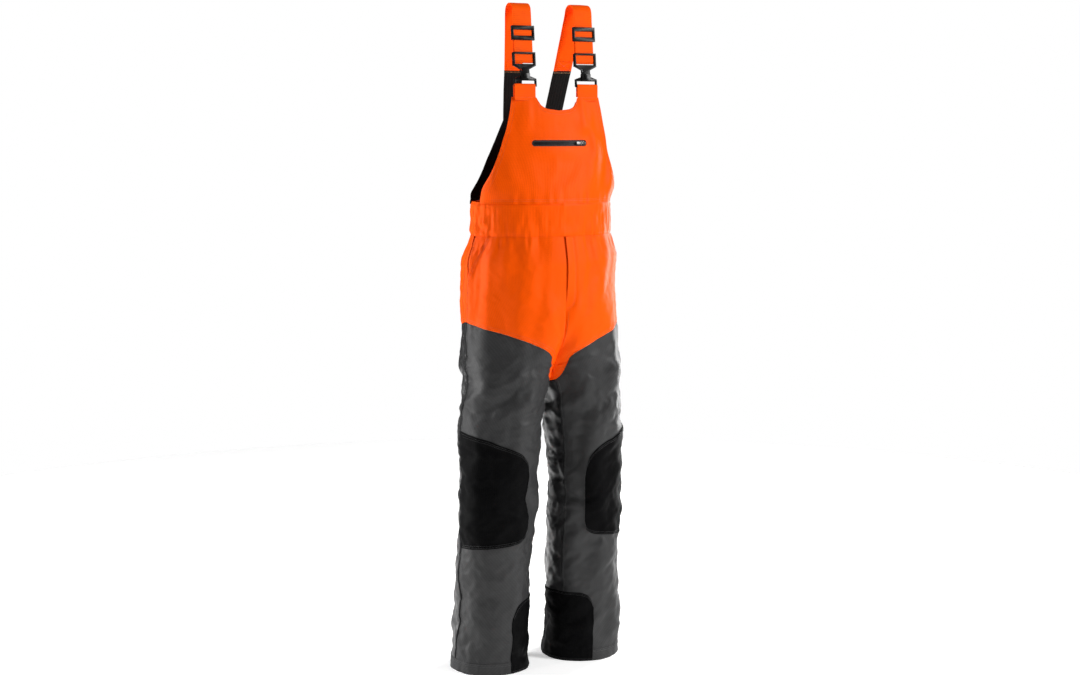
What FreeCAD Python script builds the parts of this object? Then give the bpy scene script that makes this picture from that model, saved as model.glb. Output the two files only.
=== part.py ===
import FreeCAD, Part
import math
import os
import Sketcher

from FreeCAD import Placement, Rotation, Vector

# Chainsaw protective bib-and-brace trousers, standing on the hems.
# Millimetres. +Z up, the wearer faces -Y, the wearer's left side is +X.
# Origin: middle of the garment, on the plane of the hems.

doc = FreeCAD.newDocument("BibTrousers")
SHEET = "Sizes"
SIDES = (("left", 1), ("right", -1))

# ---------------------------------------------------------------- dimensions

# One half of the garment is an ellipse at every height, cut off at the
# middle plane: height, centre x, centre y, half width, half depth.
BODY_STATIONS = {
    "hem": (0, 119, 26, 88, 90),
    "calf": (250, 117, 10, 87, 88),
    "knee": (400, 115, 0, 88, 90),
    "thigh": (560, 108, 0, 89, 104),
    "groin": (640, 99, 0, 92, 114),
    "crotch": (720, 80, 0, 105, 122),
    "hip": (800, 46, 0, 138, 128),
    "seat": (880, 14, 0, 171, 130),
    "belly": (940, 0, -2, 185, 128),
    "waist": (1000, 0, -5, 170, 114),
    "band": (1090, 0, -5, 169, 112),
}

# The bib and the back panel: height, half width, y of the side edge,
# y of the middle, roundness (0.5 an ellipse, 1 a parabola).
BIB_STATIONS = {
    "bib_foot": (1080, 169, -5, -117, 0.5),
    "bib_low": (1106, 167, -38, -114, 0.6),
    "bib_rise": (1140, 155, -58, -111, 0.75),
    "bib_middle": (1173, 142, -66, -107, 0.9),
    "bib_zip": (1207, 131, -73, -103, 1),
    "bib_chest": (1240, 122, -79, -100, 1),
    "bib_neck": (1273, 115, -80, -96, 1),
    "bib_horn": (1311, 108, -77, -83, 1),
}
BACK_STATIONS = {
    "back_foot": (1080, 169, -5, 107, 0.5),
    "back_low": (1095, 163, 20, 105, 0.6),
    "back_rise": (1120, 136, 52, 98, 0.8),
    "back_middle": (1170, 110, 54, 84, 1),
    "back_high": (1220, 90, 46, 70, 1),
    "back_top": (1267, 73, 35, 56, 1),
}
BODY_FIELDS = ("height", "centre_x", "centre_y", "half_width", "half_depth")
PANEL_FIELDS = ("height", "half_width", "edge_y", "middle_y", "roundness")

SIZES = {
    "fabric": 1.4,
    "patch_thickness": 1.3,
    "layer_gap": 0.3,
    "seam_gap": 0.4,
    "yoke_gap": 1,
    "protection_depth": 2.2,
    "protection_thickness": 6.8,
    "lining_gap": 1.2,
    "lining_thickness": 0.8,
    "hem_height": 28,
    "yoke_side": 810,
    "yoke_front": 760,
    "crotch_height": 662,
    "inseam_angle": 150,
    "waist_height": 1004,
    "waistband_top": 1080,
    "elastic_thickness": 1.6,
    "elastic_height": 52,
    "protection_foot": 52,
    "protection_top": 860,
    "lining_foot": 34,
    "lining_top": 632,
    "guard_top": 168,
    "neck_bottom": 1282,
    "neck_half_width": 52,
    "horn_top": 1311,
    "back_panel_top": 1267,
    "fly_bottom": 858,
    "fly_slit_width": 4,
    "placket_width": 27,
    "placket_bottom": 842,
    "pocket_mouth_width": 40,
    "pocket_mouth_bottom": 900,
    "piping_half_angle": 2.2,
    "piping_gap": 0.7,
    "piping_thickness": 1,
    "strap_width": 45,
    "strap_thickness": 1.8,
    "strap_x": 76,
    "strap_y": -71,
    "strap_z": 1390,
    "strap_tilt": 5.8,
    "strap_run": 107,
    "strap_top_radius": 20,
    "strap_back_x": 62,
    "strap_back_y": 10,
    "strap_back_z": 1371,
    "strap_foot_x": 51,
    "strap_foot_y": 40,
    "strap_foot_z": 1262,
    "bar_depth": 2,
    "bar_height": 4.4,
    "rail_width": 4.4,
    "buckle_inner_width": 46.4,
    "buckle_window": 20,
    "front_bar_y": -3.5,
    "rear_bar_y": 1.2,
    "neck_width": 22,
    "neck_length": 17,
    "tongue_width": 14,
    "tongue_length": 13,
    "tongue_thickness": 3,
    "socket_clearance": 0.5,
    "catch_body_depth": 7.6,
    "catch_height": 14.5,
    "catch_bar_drop": 27,
    "catch_arm_height": 16,
    "catch_plate_depth": 3.4,
    "round_bar_radius": 2,
    "round_bar_y": -1.4,
    "stud_radius": 5.2,
    "adjuster_height": 32,
    "high_bar_height": 9.4,
    "low_bar_height": 9.8,
    "adjuster_offset": 61,
    "tab_width": 50.7,
    "tab_x": 78,
    "tab_foot_z": 1311.6,
    "tab_fold_radius": 4.3,
    "zip_bend": 291,
    "zip_z": 1210,
    "zip_tilt": 4.6,
    "zip_half_angle": 13.6,
    "zip_tape_height": 8.7,
    "zip_tape_thickness": 0.7,
    "zip_split": 0.7,
    "tooth_height": 2.3,
    "tooth_depth": 1.8,
    "tooth_angle": 0.36,
    "tooth_pitch": 0.62,
    "zip_depth": 2.6,
    "zip_window_width": 137,
    "zip_window_height": 13.6,
    "slider_length": 11,
    "slider_height": 9,
    "slider_plate": 1.2,
    "slider_gap": 1.3,
    "post_thickness": 0.8,
    "pin_radius": 0.8,
    "pin_length": 7,
    "pin_reach": 2.1,
    "hub_radius": 1.7,
    "hub_length": 5.4,
    "bore_radius": 0.88,
    "ear_width": 3.2,
    "ear_depth": 3.4,
    "ear_height": 1.2,
    "ear_place": 3,
    "pull_length": 20,
    "pull_width": 6.4,
    "pull_thickness": 1.2,
    "fly_bend": 600,
    "fly_zip_x": 9,
    "fly_zip_y": -116,
    "fly_zip_z": 880,
    "fly_zip_low": 846,
    "fly_zip_high": 1000,
    "shield_depth": 24,
}


def dimension_table():
    """Write every driving dimension to the spreadsheet, one named cell each."""
    table = doc.addObject("Spreadsheet::Sheet", SHEET)
    rows = dict(SIZES)
    for stations, fields in ((BODY_STATIONS, BODY_FIELDS), (BIB_STATIONS, PANEL_FIELDS),
                             (BACK_STATIONS, PANEL_FIELDS)):
        for station, values in stations.items():
            for field, value in zip(fields, values):
                rows["%s_section_%s" % (station, field)] = value
    for row, (alias, value) in enumerate(rows.items(), start=1):
        table.set("A%d" % row, alias)
        table.set("B%d" % row, str(value))
        table.setAlias("B%d" % row, alias)
    doc.recompute()
    return table


table = dimension_table()
subparts = []


def size(alias):
    return float(getattr(table, alias))


def cell(alias):
    return "<<%s>>.%s" % (SHEET, alias)


def keep(label, feature):
    """Name a finished sub-part and put it on the list to be written."""
    feature.Label = label
    subparts.append(feature)
    return feature


# ---------------------------------------------------------------- smooth laws

def tangent(xs, ys, i):
    """Slope at point i of a curve that never overshoots its points."""
    if i in (0, len(xs) - 1):
        j = max(i, 1)
        return (ys[j] - ys[j - 1]) / (xs[j] - xs[j - 1])
    before = (ys[i] - ys[i - 1]) / (xs[i] - xs[i - 1])
    after = (ys[i + 1] - ys[i]) / (xs[i + 1] - xs[i])
    if before * after <= 0:
        return 0.0
    return 2 * before * after / (before + after)


def smooth(points, x):
    """Value at x of a smooth curve through the (x, y) points."""
    xs = [p[0] for p in points]
    ys = [p[1] for p in points]
    if x <= xs[0]:
        return ys[0]
    if x >= xs[-1]:
        return ys[-1]
    i = max(k for k in range(len(xs) - 1) if xs[k] <= x)
    width = xs[i + 1] - xs[i]
    t = (x - xs[i]) / width
    rise = ys[i + 1] - ys[i]
    slope0 = tangent(xs, ys, i) * width
    slope1 = tangent(xs, ys, i + 1) * width
    bend = t * (1 - t)
    return ys[i] + rise * t * t * (3 - 2 * t) + bend * ((1 - t) * slope0 - t * slope1)


def station_law(stations, field):
    return [(size("%s_section_height" % s), size("%s_section_%s" % (s, field)))
            for s in stations]


BODY_LAWS = {f: station_law(BODY_STATIONS, f) for f in BODY_FIELDS[1:]}
BIB_LAWS = {f: station_law(BIB_STATIONS, f) for f in PANEL_FIELDS[1:]}
BACK_LAWS = {f: station_law(BACK_STATIONS, f) for f in PANEL_FIELDS[1:]}


def mix(a, b, t):
    return a + (b - a) * t


# ---------------------------------------------------------------- surfaces

def leg_point(angle, z, depth):
    """Point of the left half: angle 0 outer side, -90 front, +90 back."""
    turn = math.radians(angle)
    half_width = smooth(BODY_LAWS["half_width"], z) - depth
    half_depth = smooth(BODY_LAWS["half_depth"], z) - depth
    x = smooth(BODY_LAWS["centre_x"], z) + half_width * math.cos(turn)
    y = smooth(BODY_LAWS["centre_y"], z) + half_depth * math.sin(turn)
    return Vector(x, y, z)


def middle_angle(z, depth):
    """Angle at which the half section meets the middle plane."""
    half_width = smooth(BODY_LAWS["half_width"], z) - depth
    reach = smooth(BODY_LAWS["centre_x"], z) / half_width
    return math.degrees(math.acos(-min(1.0, reach)))


def hip_point(share, z, depth):
    """Point at a signed share of the way round to the middle plane."""
    return leg_point(share * middle_angle(z, depth), z, depth)


def panel_point(laws, across, z, depth):
    """Point of the bib or back panel, across from -1 to 1."""
    edge = smooth(laws["edge_y"], z)
    middle = smooth(laws["middle_y"], z)
    roundness = smooth(laws["roundness"], z)
    bow = 1 - (1 - min(1.0, across * across)) ** roundness
    inward = 1 if middle < edge else -1
    x = across * (smooth(laws["half_width"], z) - depth * abs(across))
    return Vector(x, mix(middle, edge, bow) + inward * depth, z)


def even_spline(points):
    """Cubic spline through points that are even steps of its parameter."""
    curve = Part.BSplineCurve()
    last = len(points) - 1
    curve.interpolate(Points=points, Parameters=[i / last for i in range(last + 1)])
    return curve


def smooth_skin(surface, columns, rows):
    """Surface through a grid of points: splines one way, then the other way."""
    lines = [even_spline([surface(i / (columns - 1), j / (rows - 1)) for j in range(rows)])
             for i in range(columns)]
    crossing = [even_spline(list(poles)) for poles in zip(*[line.getPoles() for line in lines])]
    net = [list(row) for row in zip(*[curve.getPoles() for curve in crossing])]
    u_law = crossing[0]
    v_law = lines[0]
    skin = Part.BSplineSurface()
    skin.buildFromPolesMultsKnots(net, u_law.getMultiplicities(), v_law.getMultiplicities(),
                                  u_law.getKnots(), v_law.getKnots(), False, False,
                                  u_law.Degree, v_law.Degree)
    return skin


def thick_sheet(outer, inner, columns=11, rows=11):
    """Closed solid between two smooth surfaces given as functions of (u, v)."""
    skins = [smooth_skin(surface, columns, rows) for surface in (outer, inner)]
    faces = [skin.toShape() for skin in skins]
    for end in (0, 1):
        u_edges = [s.uIso(s.bounds()[end]) for s in skins]
        v_edges = [s.vIso(s.bounds()[2 + end]) for s in skins]
        faces.append(u_edges[0].makeRuledSurface(u_edges[1]).toShape())
        faces.append(v_edges[0].makeRuledSurface(v_edges[1]).toShape())
    shell = Part.makeShell(faces)
    shell.sewShape()
    solid = Part.makeSolid(shell)
    if solid.Volume < 0:
        solid.reverse()
    return solid


def cloth(label, shape, side=1):
    """Add a cloth sub-part; side -1 mirrors it to the wearer's right."""
    feature = doc.addObject("Part::Feature", label)
    feature.Shape = shape if side == 1 else shape.mirror(Vector(0, 0, 0), Vector(1, 0, 0))
    feature.Placement = Placement()
    return keep(label, feature)


def skin_sheet(surface, start, thickness, columns=11, rows=11):
    """Sheet of one thickness that starts at a depth below the outer skin."""
    return thick_sheet(lambda u, v: surface(u, v, start),
                       lambda u, v: surface(u, v, start + thickness), columns, rows)


# ---------------------------------------------------------------- trouser cloth

def yoke_height(angle):
    """Height of the seam between the leg cloth and the hip cloth."""
    turn = abs(angle)
    if turn > 180:
        turn = 360 - turn
    side = size("yoke_side")
    front = size("yoke_front")
    crotch = size("crotch_height")
    seam = [(0, side), (45, side - 20), (90, front), (120, mix(crotch, front, 0.7)),
            (135, mix(crotch, front, 0.4)), (150, crotch + 13), (180, crotch)]
    return smooth(seam, turn)


def leg_panel(first, last):
    """Leg cloth between two angles, from the hem up to the yoke seam."""
    def surface(u, v, depth):
        angle = mix(first, last, u)
        foot = size("hem_height") + size("seam_gap")
        return leg_point(angle, mix(foot, yoke_height(angle) - size("seam_gap"), v), depth)
    return skin_sheet(surface, 0, size("fabric"), 15, 17)


def hip_panel(direction):
    """Hip cloth from the yoke seam up to the waist; direction -1 front, 1 back."""
    def surface(u, v, depth):
        angle = mix(0.3, 180, u)
        foot = yoke_height(angle) + size("yoke_gap")
        foot_share = min(1.0, angle / middle_angle(foot, depth))
        top = size("waist_height") - size("seam_gap")
        share = mix(foot_share, u, v)
        edge = 1 - 0.002 * u
        return hip_point(direction * share * edge, mix(foot, top, v), depth)
    return skin_sheet(surface, 0, size("fabric"), 17, 13)


def slab(points, plane, start, length):
    """Prism of a closed outline: plane 'XZ' runs along y, 'YZ' along x."""
    if plane == "XZ":
        corners = [Vector(a, start, b) for a, b in points]
        travel = Vector(0, length, 0)
    else:
        corners = [Vector(start, a, b) for a, b in points]
        travel = Vector(length, 0, 0)
    wire = Part.makePolygon(corners + corners[:1])
    return Part.Face(wire).extrude(travel)


def hip_front(side):
    """Front hip cloth with the slanted pocket mouth and its half of the fly."""
    top = size("waist_height")
    mouth = [(-5 - size("pocket_mouth_width"), top + 5), (30, top + 5),
             (30, size("pocket_mouth_bottom")), (0, size("pocket_mouth_bottom"))]
    shape = hip_panel(-1).cut(slab(mouth, "YZ", 100, 120))
    if side == 1:
        slit = size("fly_slit_width")
        notch = [(-5, top + 5), (slit, top + 5), (slit * 0.8, mix(top, size("fly_bottom"), 0.6)),
                 (0.3, size("fly_bottom")), (-5, size("fly_bottom"))]
        shape = shape.cut(slab(notch, "XZ", -160, 60))
    return shape


def ring_sheet(first, last, foot, top, start, thickness, columns=15, rows=7):
    """Plain band between two angles and two heights."""
    def surface(u, v, depth):
        return leg_point(mix(first, last, u), mix(foot, top, v), depth)
    return skin_sheet(surface, start, thickness, columns, rows)


def knee_patch():
    """Knee patch from the side seam towards the inner leg, rounded inner corners."""
    top = [(0, 565), (33, 556), (63, 540), (94, 521), (108, 500), (115, 470), (117, 445)]
    foot = [(0, 291), (41, 299), (71, 303), (98, 308), (113, 320), (117, 340)]

    def surface(u, v, depth):
        angle = mix(3.2, 117, math.sin(u * math.pi / 2))
        return leg_point(-angle, mix(smooth(foot, angle), smooth(top, angle), v), depth)
    thickness = size("patch_thickness")
    return skin_sheet(surface, -thickness - size("layer_gap"), thickness, 15, 9)


def ankle_guard():
    """Guard round the inner ankle, its upper front corner rounded."""
    peak = size("guard_top")
    top = [(98, peak - 36), (103, peak - 17), (111, peak - 5), (122, peak), (250, peak),
           (260, peak - 8)]

    def surface(u, v, depth):
        angle = mix(98, 260, u ** 1.5)
        return leg_point(-angle, mix(1, smooth(top, angle), v), depth)
    thickness = size("patch_thickness")
    return skin_sheet(surface, -thickness - size("layer_gap"), thickness, 17, 7)


def saw_protection():
    """Quilted protective pad inside the front of the leg and the hip."""
    inner_edge = [(0, 148), (600, 146), (700, 125), (780, 104), (860, 84)]

    def surface(u, v, depth):
        z = mix(size("protection_foot"), size("protection_top"), v)
        return leg_point(-mix(5, smooth(inner_edge, z), u), z, depth)
    return skin_sheet(surface, size("protection_depth"), size("protection_thickness"), 11, 15)


def leg_lining():
    """Lining tube: inside the protective pad in front, against the cloth behind."""
    front = size("protection_depth") + size("protection_thickness") + size("lining_gap")
    back = size("fabric") + size("lining_gap")

    def surface(u, v, depth):
        angle = mix(-178, 178, u)
        z = mix(size("lining_foot"), size("lining_top"), v)
        cover = smooth([(-178, 0), (-175, 0), (-150, 1), (2, 1), (27, 0), (178, 0)], angle)
        return leg_point(angle, z, depth + mix(back, front, cover))
    return skin_sheet(surface, 0, size("lining_thickness"), 47, 17)


def side_piping():
    """Corded strip that covers the side seam from the hem to the waist."""
    half = size("piping_half_angle")
    foot = size("hem_height") + size("seam_gap")
    thickness = size("piping_thickness")
    return ring_sheet(-half, half, foot, size("waist_height") - 1,
                      -size("piping_gap") - thickness, thickness, 5, 33)


def hem_band():
    """Turned-up hem, its lower edge cut flat to stand on."""
    below = 5
    reach = 400
    band = ring_sheet(-179.7, 179.7, -below, size("hem_height"), -0.1, 2.4, 31)
    return band.cut(Part.makeBox(reach, reach, 2 * below, Vector(-reach / 4, -reach / 2, -2 * below)))


def pocket_protection_gap():
    return size("protection_top") + 4


def trouser_side(name, side):
    """All cloth pieces of one leg and one side of the hips."""
    inseam = size("inseam_angle")
    gap = 0.25
    cloth(name + "_leg_front", leg_panel(-gap, gap - inseam), side)
    cloth(name + "_leg_back", leg_panel(gap, 360 - inseam - gap), side)
    cloth(name + "_hem", hem_band(), side)
    cloth(name + "_hip_front", hip_front(side), side)
    cloth(name + "_hip_back", hip_panel(1), side)
    cloth(name + "_knee_patch", knee_patch(), side)
    cloth(name + "_ankle_guard", ankle_guard(), side)
    cloth(name + "_saw_protection", saw_protection(), side)
    cloth(name + "_leg_lining", leg_lining(), side)
    cloth(name + "_side_piping", side_piping(), side)


def pocket_side(name, side):
    """Facing and bag of one slanted hip pocket."""
    foot = pocket_protection_gap()
    facing = ring_sheet(-1.5, -34, foot, size("waist_height") - 2, 1.7, 1.2, 7)
    cloth(name + "_pocket_facing", facing, side)
    bag = ring_sheet(-2, -50, foot, size("waist_height") - 2, 3.3, 1.6, 9)
    cloth(name + "_pocket_bag", bag, side)


# ---------------------------------------------------------------- waist and fly

def waistband(first, last, start, thickness, foot, top):
    def surface(u, v, depth):
        return leg_point(mix(first, last, u), mix(foot, top, v), depth)
    return skin_sheet(surface, start, thickness, 25, 5)


def waist():
    """Front and back halves of the waistband and the elastic inside it."""
    foot = size("waist_height")
    top = size("waistband_top") - size("seam_gap")
    fabric = size("fabric")
    cloth("waistband_front", waistband(-0.5, -179.5, -0.6, fabric + 0.6, foot, top))
    cloth("waistband_back", waistband(0.5, 179.5, -0.6, fabric + 0.6, foot, top))
    low = foot + 12
    elastic = waistband(-35, 215, fabric + size("layer_gap"), size("elastic_thickness"), low,
                        low + size("elastic_height"))
    cloth("waist_elastic", elastic)


def fly_strip(first_x, last_x, foot, start, thickness, rounded):
    """Strip behind the front cloth, between two x positions."""
    def surface(u, v, depth):
        x = mix(first_x, last_x, u)
        turn = smooth([(0, foot), (0.5, foot + 1), (0.8, foot + 8), (1, foot + 26)], u)
        z = mix(turn if rounded else foot, size("waist_height") - 2, v)
        centre = smooth(BODY_LAWS["centre_x"], z)
        reach = (abs(x) - centre) / (smooth(BODY_LAWS["half_width"], z) - depth)
        y = -(smooth(BODY_LAWS["half_depth"], z) - depth) * math.sqrt(1 - min(1.0, reach ** 2))
        return Vector(x, y + smooth(BODY_LAWS["centre_y"], z), z)
    return skin_sheet(surface, start, thickness, 7, 9)


def fly():
    """Placket with its J shape, and the shield behind the zip."""
    foot = size("placket_bottom")
    cloth("fly_placket", fly_strip(-6, size("placket_width"), foot, 1.8, 1.2, True))
    cloth("fly_shield", fly_strip(-24, size("placket_width"), foot - 4, size("shield_depth"),
                                  1.2, False))


# ---------------------------------------------------------------- bib and back

def neckline():
    """Prism that leaves the round neckline between the two horns."""
    half = size("neck_half_width")
    low = size("neck_bottom")
    top = size("horn_top")
    side = [Vector(-half - 1, 0, top + 20), Vector(-half, 0, top), Vector(-half * 0.83, 0, low + 12),
            Vector(-half * 0.5, 0, low + 3)]
    other = [Vector(-p.x, 0, p.z) for p in reversed(side)]
    curve = Part.BSplineCurve()
    curve.interpolate(side + [Vector(0, 0, low)] + other)
    lid = Part.makeLine(other[-1], side[0])
    face = Part.Face(Part.Wire([curve.toShape(), lid]))
    face.translate(Vector(0, -200, 0))
    return face.extrude(Vector(0, 200, 0))


def zip_window():
    """Rounded slot in the bib through which the pocket zip shows."""
    width = size("zip_window_width")
    height = size("zip_window_height")
    z = size("zip_z")
    block = Part.makeBox(width - height, 120, height, Vector((height - width) / 2, -160, z - height / 2))
    ends = [Part.makeCylinder(height / 2, 120, Vector(x, -160, z), Vector(0, 1, 0))
            for x in ((height - width) / 2, (width - height) / 2)]
    return block.fuse(ends)


def bib_reach(z):
    """Share of the bib's section that is cloth: the rest is the armhole."""
    return smooth([(1080, 0.975), (1106, 0.995), (1140, 1), (1320, 1)], z)


def bib():
    """Bib cloth with its neckline and zip window, and the facing inside it."""
    foot = size("waistband_top")

    def front(u, v, depth):
        z = mix(foot, size("horn_top"), v)
        return panel_point(BIB_LAWS, mix(-1, 1, u) * bib_reach(z), z, depth)

    cut = skin_sheet(front, 0, size("fabric"), 17, 17).cut([neckline(), zip_window()])
    cloth("bib_front", cut)

    def facing(u, v, depth):
        across = mix(-0.42, 0.42, u)
        curve = smooth([(0, 0), (0.2, 2), (0.36, 11), (0.42, 21)], abs(across))
        z = size("neck_bottom") + curve
        return panel_point(BIB_LAWS, across, mix(z - 32, z - 1.5, v), depth)

    cloth("bib_facing", skin_sheet(facing, 1.8, 0.9, 13, 5))

    def bag(u, v, depth):
        z = mix(1104, size("zip_z") + 16, v)
        return panel_point(BIB_LAWS, mix(-0.58, 0.58, u), z, depth)

    cloth("bib_pocket_bag", skin_sheet(bag, 7.4, 1.6, 9, 7))


def back():
    """Stretch panel of the back, open at both armholes."""
    def surface(u, v, depth):
        z = mix(size("waistband_top"), size("back_panel_top"), v)
        reach = smooth([(1080, 0.94), (1095, 0.95), (1120, 0.985), (1140, 1), (1300, 1)], z)
        return panel_point(BACK_LAWS, mix(-1, 1, u) * reach, z, depth)
    cloth("back_panel", skin_sheet(surface, 0, 1.6, 17, 11))


# ---------------------------------------------------------------- straps

def ribbon(points, width, thickness, columns):
    """Flat webbing along (x, y, z) points, its width along x."""
    path = Part.BSplineCurve()
    path.interpolate([Vector(*p) for p in points])
    first = path.FirstParameter
    last = path.LastParameter

    def surface(u, v, offset):
        place = mix(first, last, u)
        direction = path.tangent(place)[0]
        normal = Vector(0, -direction.z, direction.y).normalize()
        return path.value(place) + normal * offset + Vector(mix(-width / 2, width / 2, v), 0, 0)
    return thick_sheet(lambda u, v: surface(u, v, -thickness / 2),
                       lambda u, v: surface(u, v, thickness / 2), columns, 4)


def run_point(along, out=0.0):
    """Point of the straight front run: distance up from the buckle, distance in."""
    tilt = math.radians(size("strap_tilt"))
    y = size("strap_y") + along * math.sin(tilt) + out * math.cos(tilt)
    z = size("strap_z") + along * math.cos(tilt) - out * math.sin(tilt)
    return (size("strap_x"), y, z)


def strap_path():
    """Centre line from the back seam over the shoulder to the front buckle."""
    back = (size("strap_back_x"), size("strap_back_y"), size("strap_back_z") + 0.5)
    run = size("strap_run")
    radius = size("strap_top_radius")
    top = run_point(run)
    points = [back]
    for share in (0.35, 0.7):
        points.append(tuple(mix(back[i], (top[0] - 1.5, top[1] + 2 * radius, top[2])[i], share)
                            for i in range(3)))
    for step in range(7):
        turn = math.radians(180 * step / 6)
        x = top[0] - 1.5 * (1 - step / 6)
        points.append((x, top[1] + radius + radius * math.cos(turn),
                       top[2] + radius * math.sin(turn)))
    for along in (0.8, 0.6, 0.4, 0.2, 0.0):
        points.append(run_point(run * along))
    return points


def return_path():
    """Webbing end: round the buckle's rear bar, then up behind the front run."""
    behind = size("rear_bar_y") + size("bar_depth") + size("layer_gap")
    behind += size("strap_thickness") / 2
    points = [run_point(-size("seam_gap"))]
    for step in range(7):
        turn = math.radians(180 * step / 6)
        out = behind / 2 * (1 - math.cos(turn))
        points.append(run_point(-2 - behind / 2 * math.sin(turn), out))
    last = size("adjuster_offset") + 4
    for share in (0.05, 0.15, 0.3, 0.5, 0.75, 1):
        points.append(run_point(last * share, behind))
    return points


def straps(name, side):
    """Elastic back strap, shoulder strap and the doubled end of the webbing."""
    width = size("strap_width")
    thickness = size("strap_thickness")
    foot = Vector(size("strap_foot_x"), size("strap_foot_y"), size("strap_foot_z") + 6)
    head = Vector(size("strap_back_x"), size("strap_back_y"), size("strap_back_z"))
    elastic = [tuple(foot + (head - foot) * t + Vector(0, 1.5 * math.sin(math.pi * t), 0))
               for t in (0, 0.33, 0.67, 1)]
    cloth(name + "_back_strap", ribbon(elastic, width, thickness, 9), side)
    cloth(name + "_shoulder_strap", ribbon(strap_path(), width, thickness, 45), side)
    cloth(name + "_strap_return", ribbon(return_path(), width, thickness, 61), side)


# ---------------------------------------------------------------- hard pieces

def bind(feature, bindings):
    for name, expression in bindings.items():
        feature.setExpression(name, expression)


def block(name, length, width, height, x, y, z):
    """Box bound to the sheet: three sizes and the place of its low corner."""
    feature = doc.addObject("Part::Box", name)
    bind(feature, {"Length": length, "Width": width, "Height": height,
                   ".Placement.Base.x": x, ".Placement.Base.y": y, ".Placement.Base.z": z})
    return feature


def fused(name, pieces):
    feature = doc.addObject("Part::MultiFuse", name)
    feature.Shapes = pieces
    feature.Refine = True
    return feature


def subtract(name, base, tool):
    feature = doc.addObject("Part::Cut", name)
    feature.Base = base
    feature.Tool = tool
    return feature


def run_placement(along, side):
    """Place of a fitting on the tilted front run of one strap."""
    x, y, z = run_point(along)
    return Placement(Vector(side * x, y, z), Rotation(Vector(1, 0, 0), -size("strap_tilt")))


def fitting_bar(name, height, z, rear):
    """Bar across the webbing, in front of it or behind it."""
    start = cell("rear_bar_y") if rear else cell("front_bar_y")
    return block(name, cell("buckle_inner_width") + " + 2 * " + cell("rail_width"),
                 cell("bar_depth"), height,
                 "-%s / 2 - %s" % (cell("buckle_inner_width"), cell("rail_width")), start, z)


def fitting_rails(name, height, z):
    """The two side rails that join the bars outside the webbing."""
    depth = "%s + %s - %s" % (cell("rear_bar_y"), cell("bar_depth"), cell("front_bar_y"))
    left = "-%s / 2 - %s" % (cell("buckle_inner_width"), cell("rail_width"))
    right = cell("buckle_inner_width") + " / 2"
    return [block(name + "_rail_a", cell("rail_width"), depth, height, left,
                  cell("front_bar_y"), z),
            block(name + "_rail_b", cell("rail_width"), depth, height, right,
                  cell("front_bar_y"), z)]


def plate(name, corners, start, depth):
    """Plate of a PartDesign body: an outline bound to the sheet, padded along y."""
    body = doc.addObject("PartDesign::Body", name)
    sketch = body.newObject("Sketcher::SketchObject", name + "_outline")
    plane = [f for f in body.Origin.OriginFeatures if f.Role == "XZ_Plane"][0]
    sketch.AttachmentSupport = (plane, [""])
    sketch.MapMode = "FlatFace"
    count = len(corners)
    for i in range(count):
        here = Vector(i, i * i, 0)
        there = Vector((i + 1) % count, ((i + 1) % count) ** 2, 0)
        sketch.addGeometry(Part.LineSegment(here, there))
    for i in range(count):
        sketch.addConstraint(Sketcher.Constraint("Coincident", i, 2, (i + 1) % count, 1))
    for i, corner in enumerate(corners):
        for kind, text in zip(("DistanceX", "DistanceY"), corner):
            place = sketch.addConstraint(Sketcher.Constraint(kind, -1, 1, i, 1, i + 0.5))
            sketch.setExpression("Constraints[%d]" % place, text)
    pad = body.newObject("PartDesign::Pad", name + "_pad")
    pad.Profile = sketch
    pad.setExpression("Length", depth)
    bind(body, {".Placement.Base.y": "%s + %s" % (start, depth)})
    return body


def buckle_upper(name, side):
    """Upper buckle half: webbing frame, tapered neck with a hook slot, tongue."""
    outer = "(%s / 2 + %s)" % (cell("buckle_inner_width"), cell("rail_width"))
    window = cell("buckle_window")
    neck = "(%s / 2)" % cell("neck_width")
    end = "(-%s / 2 - %s)" % (window, cell("neck_length"))
    low = "(-%s / 2)" % window
    pieces = fitting_rails(name, "%s + 9" % window, "%s - 1" % low)
    pieces.append(fitting_bar(name + "_top_bar", cell("bar_height"), "%s - 5.5" % window, False))
    pieces.append(fitting_bar(name + "_rear_bar", "3.2", "-1.6", True))
    outline = [("-" + outer, low + " + 3"), ("-" + outer, low + " - 1"),
               ("-" + neck, low + " - 9"), ("-" + neck, end), (neck, end),
               (neck, low + " - 9"), (outer, low + " - 1"), (outer, low + " + 3")]
    body = plate(name + "_neck", outline, cell("front_bar_y"), "4")
    pieces.append(body)
    pieces.append(block(name + "_tongue", cell("tongue_width"), cell("tongue_thickness"),
                        cell("tongue_length") + " + 2", "-%s / 2" % cell("tongue_width"),
                        cell("front_bar_y") + " + 0.5", end + " - " + cell("tongue_length")))
    whole = fused(name + "_whole", pieces)
    slot = plate(name + "_hook_slot", [("-" + neck + " + 0.8", low + " - 7"),
                                       ("-" + neck + " + 3.4", low + " - 7"),
                                       ("-" + neck + " + 6", end + " + 3"),
                                       ("-" + neck + " + 4", end + " + 3")],
                 cell("front_bar_y") + " - 1", "6")
    feature = subtract(name, whole, slot)
    feature.Placement = run_placement(0, side)
    return keep(name, feature)


def catch_top():
    """Height of the catch's mouth below the upper buckle's rear bar."""
    return "(-%s / 2 - %s - 0.4)" % (cell("buckle_window"), cell("neck_length"))


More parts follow.
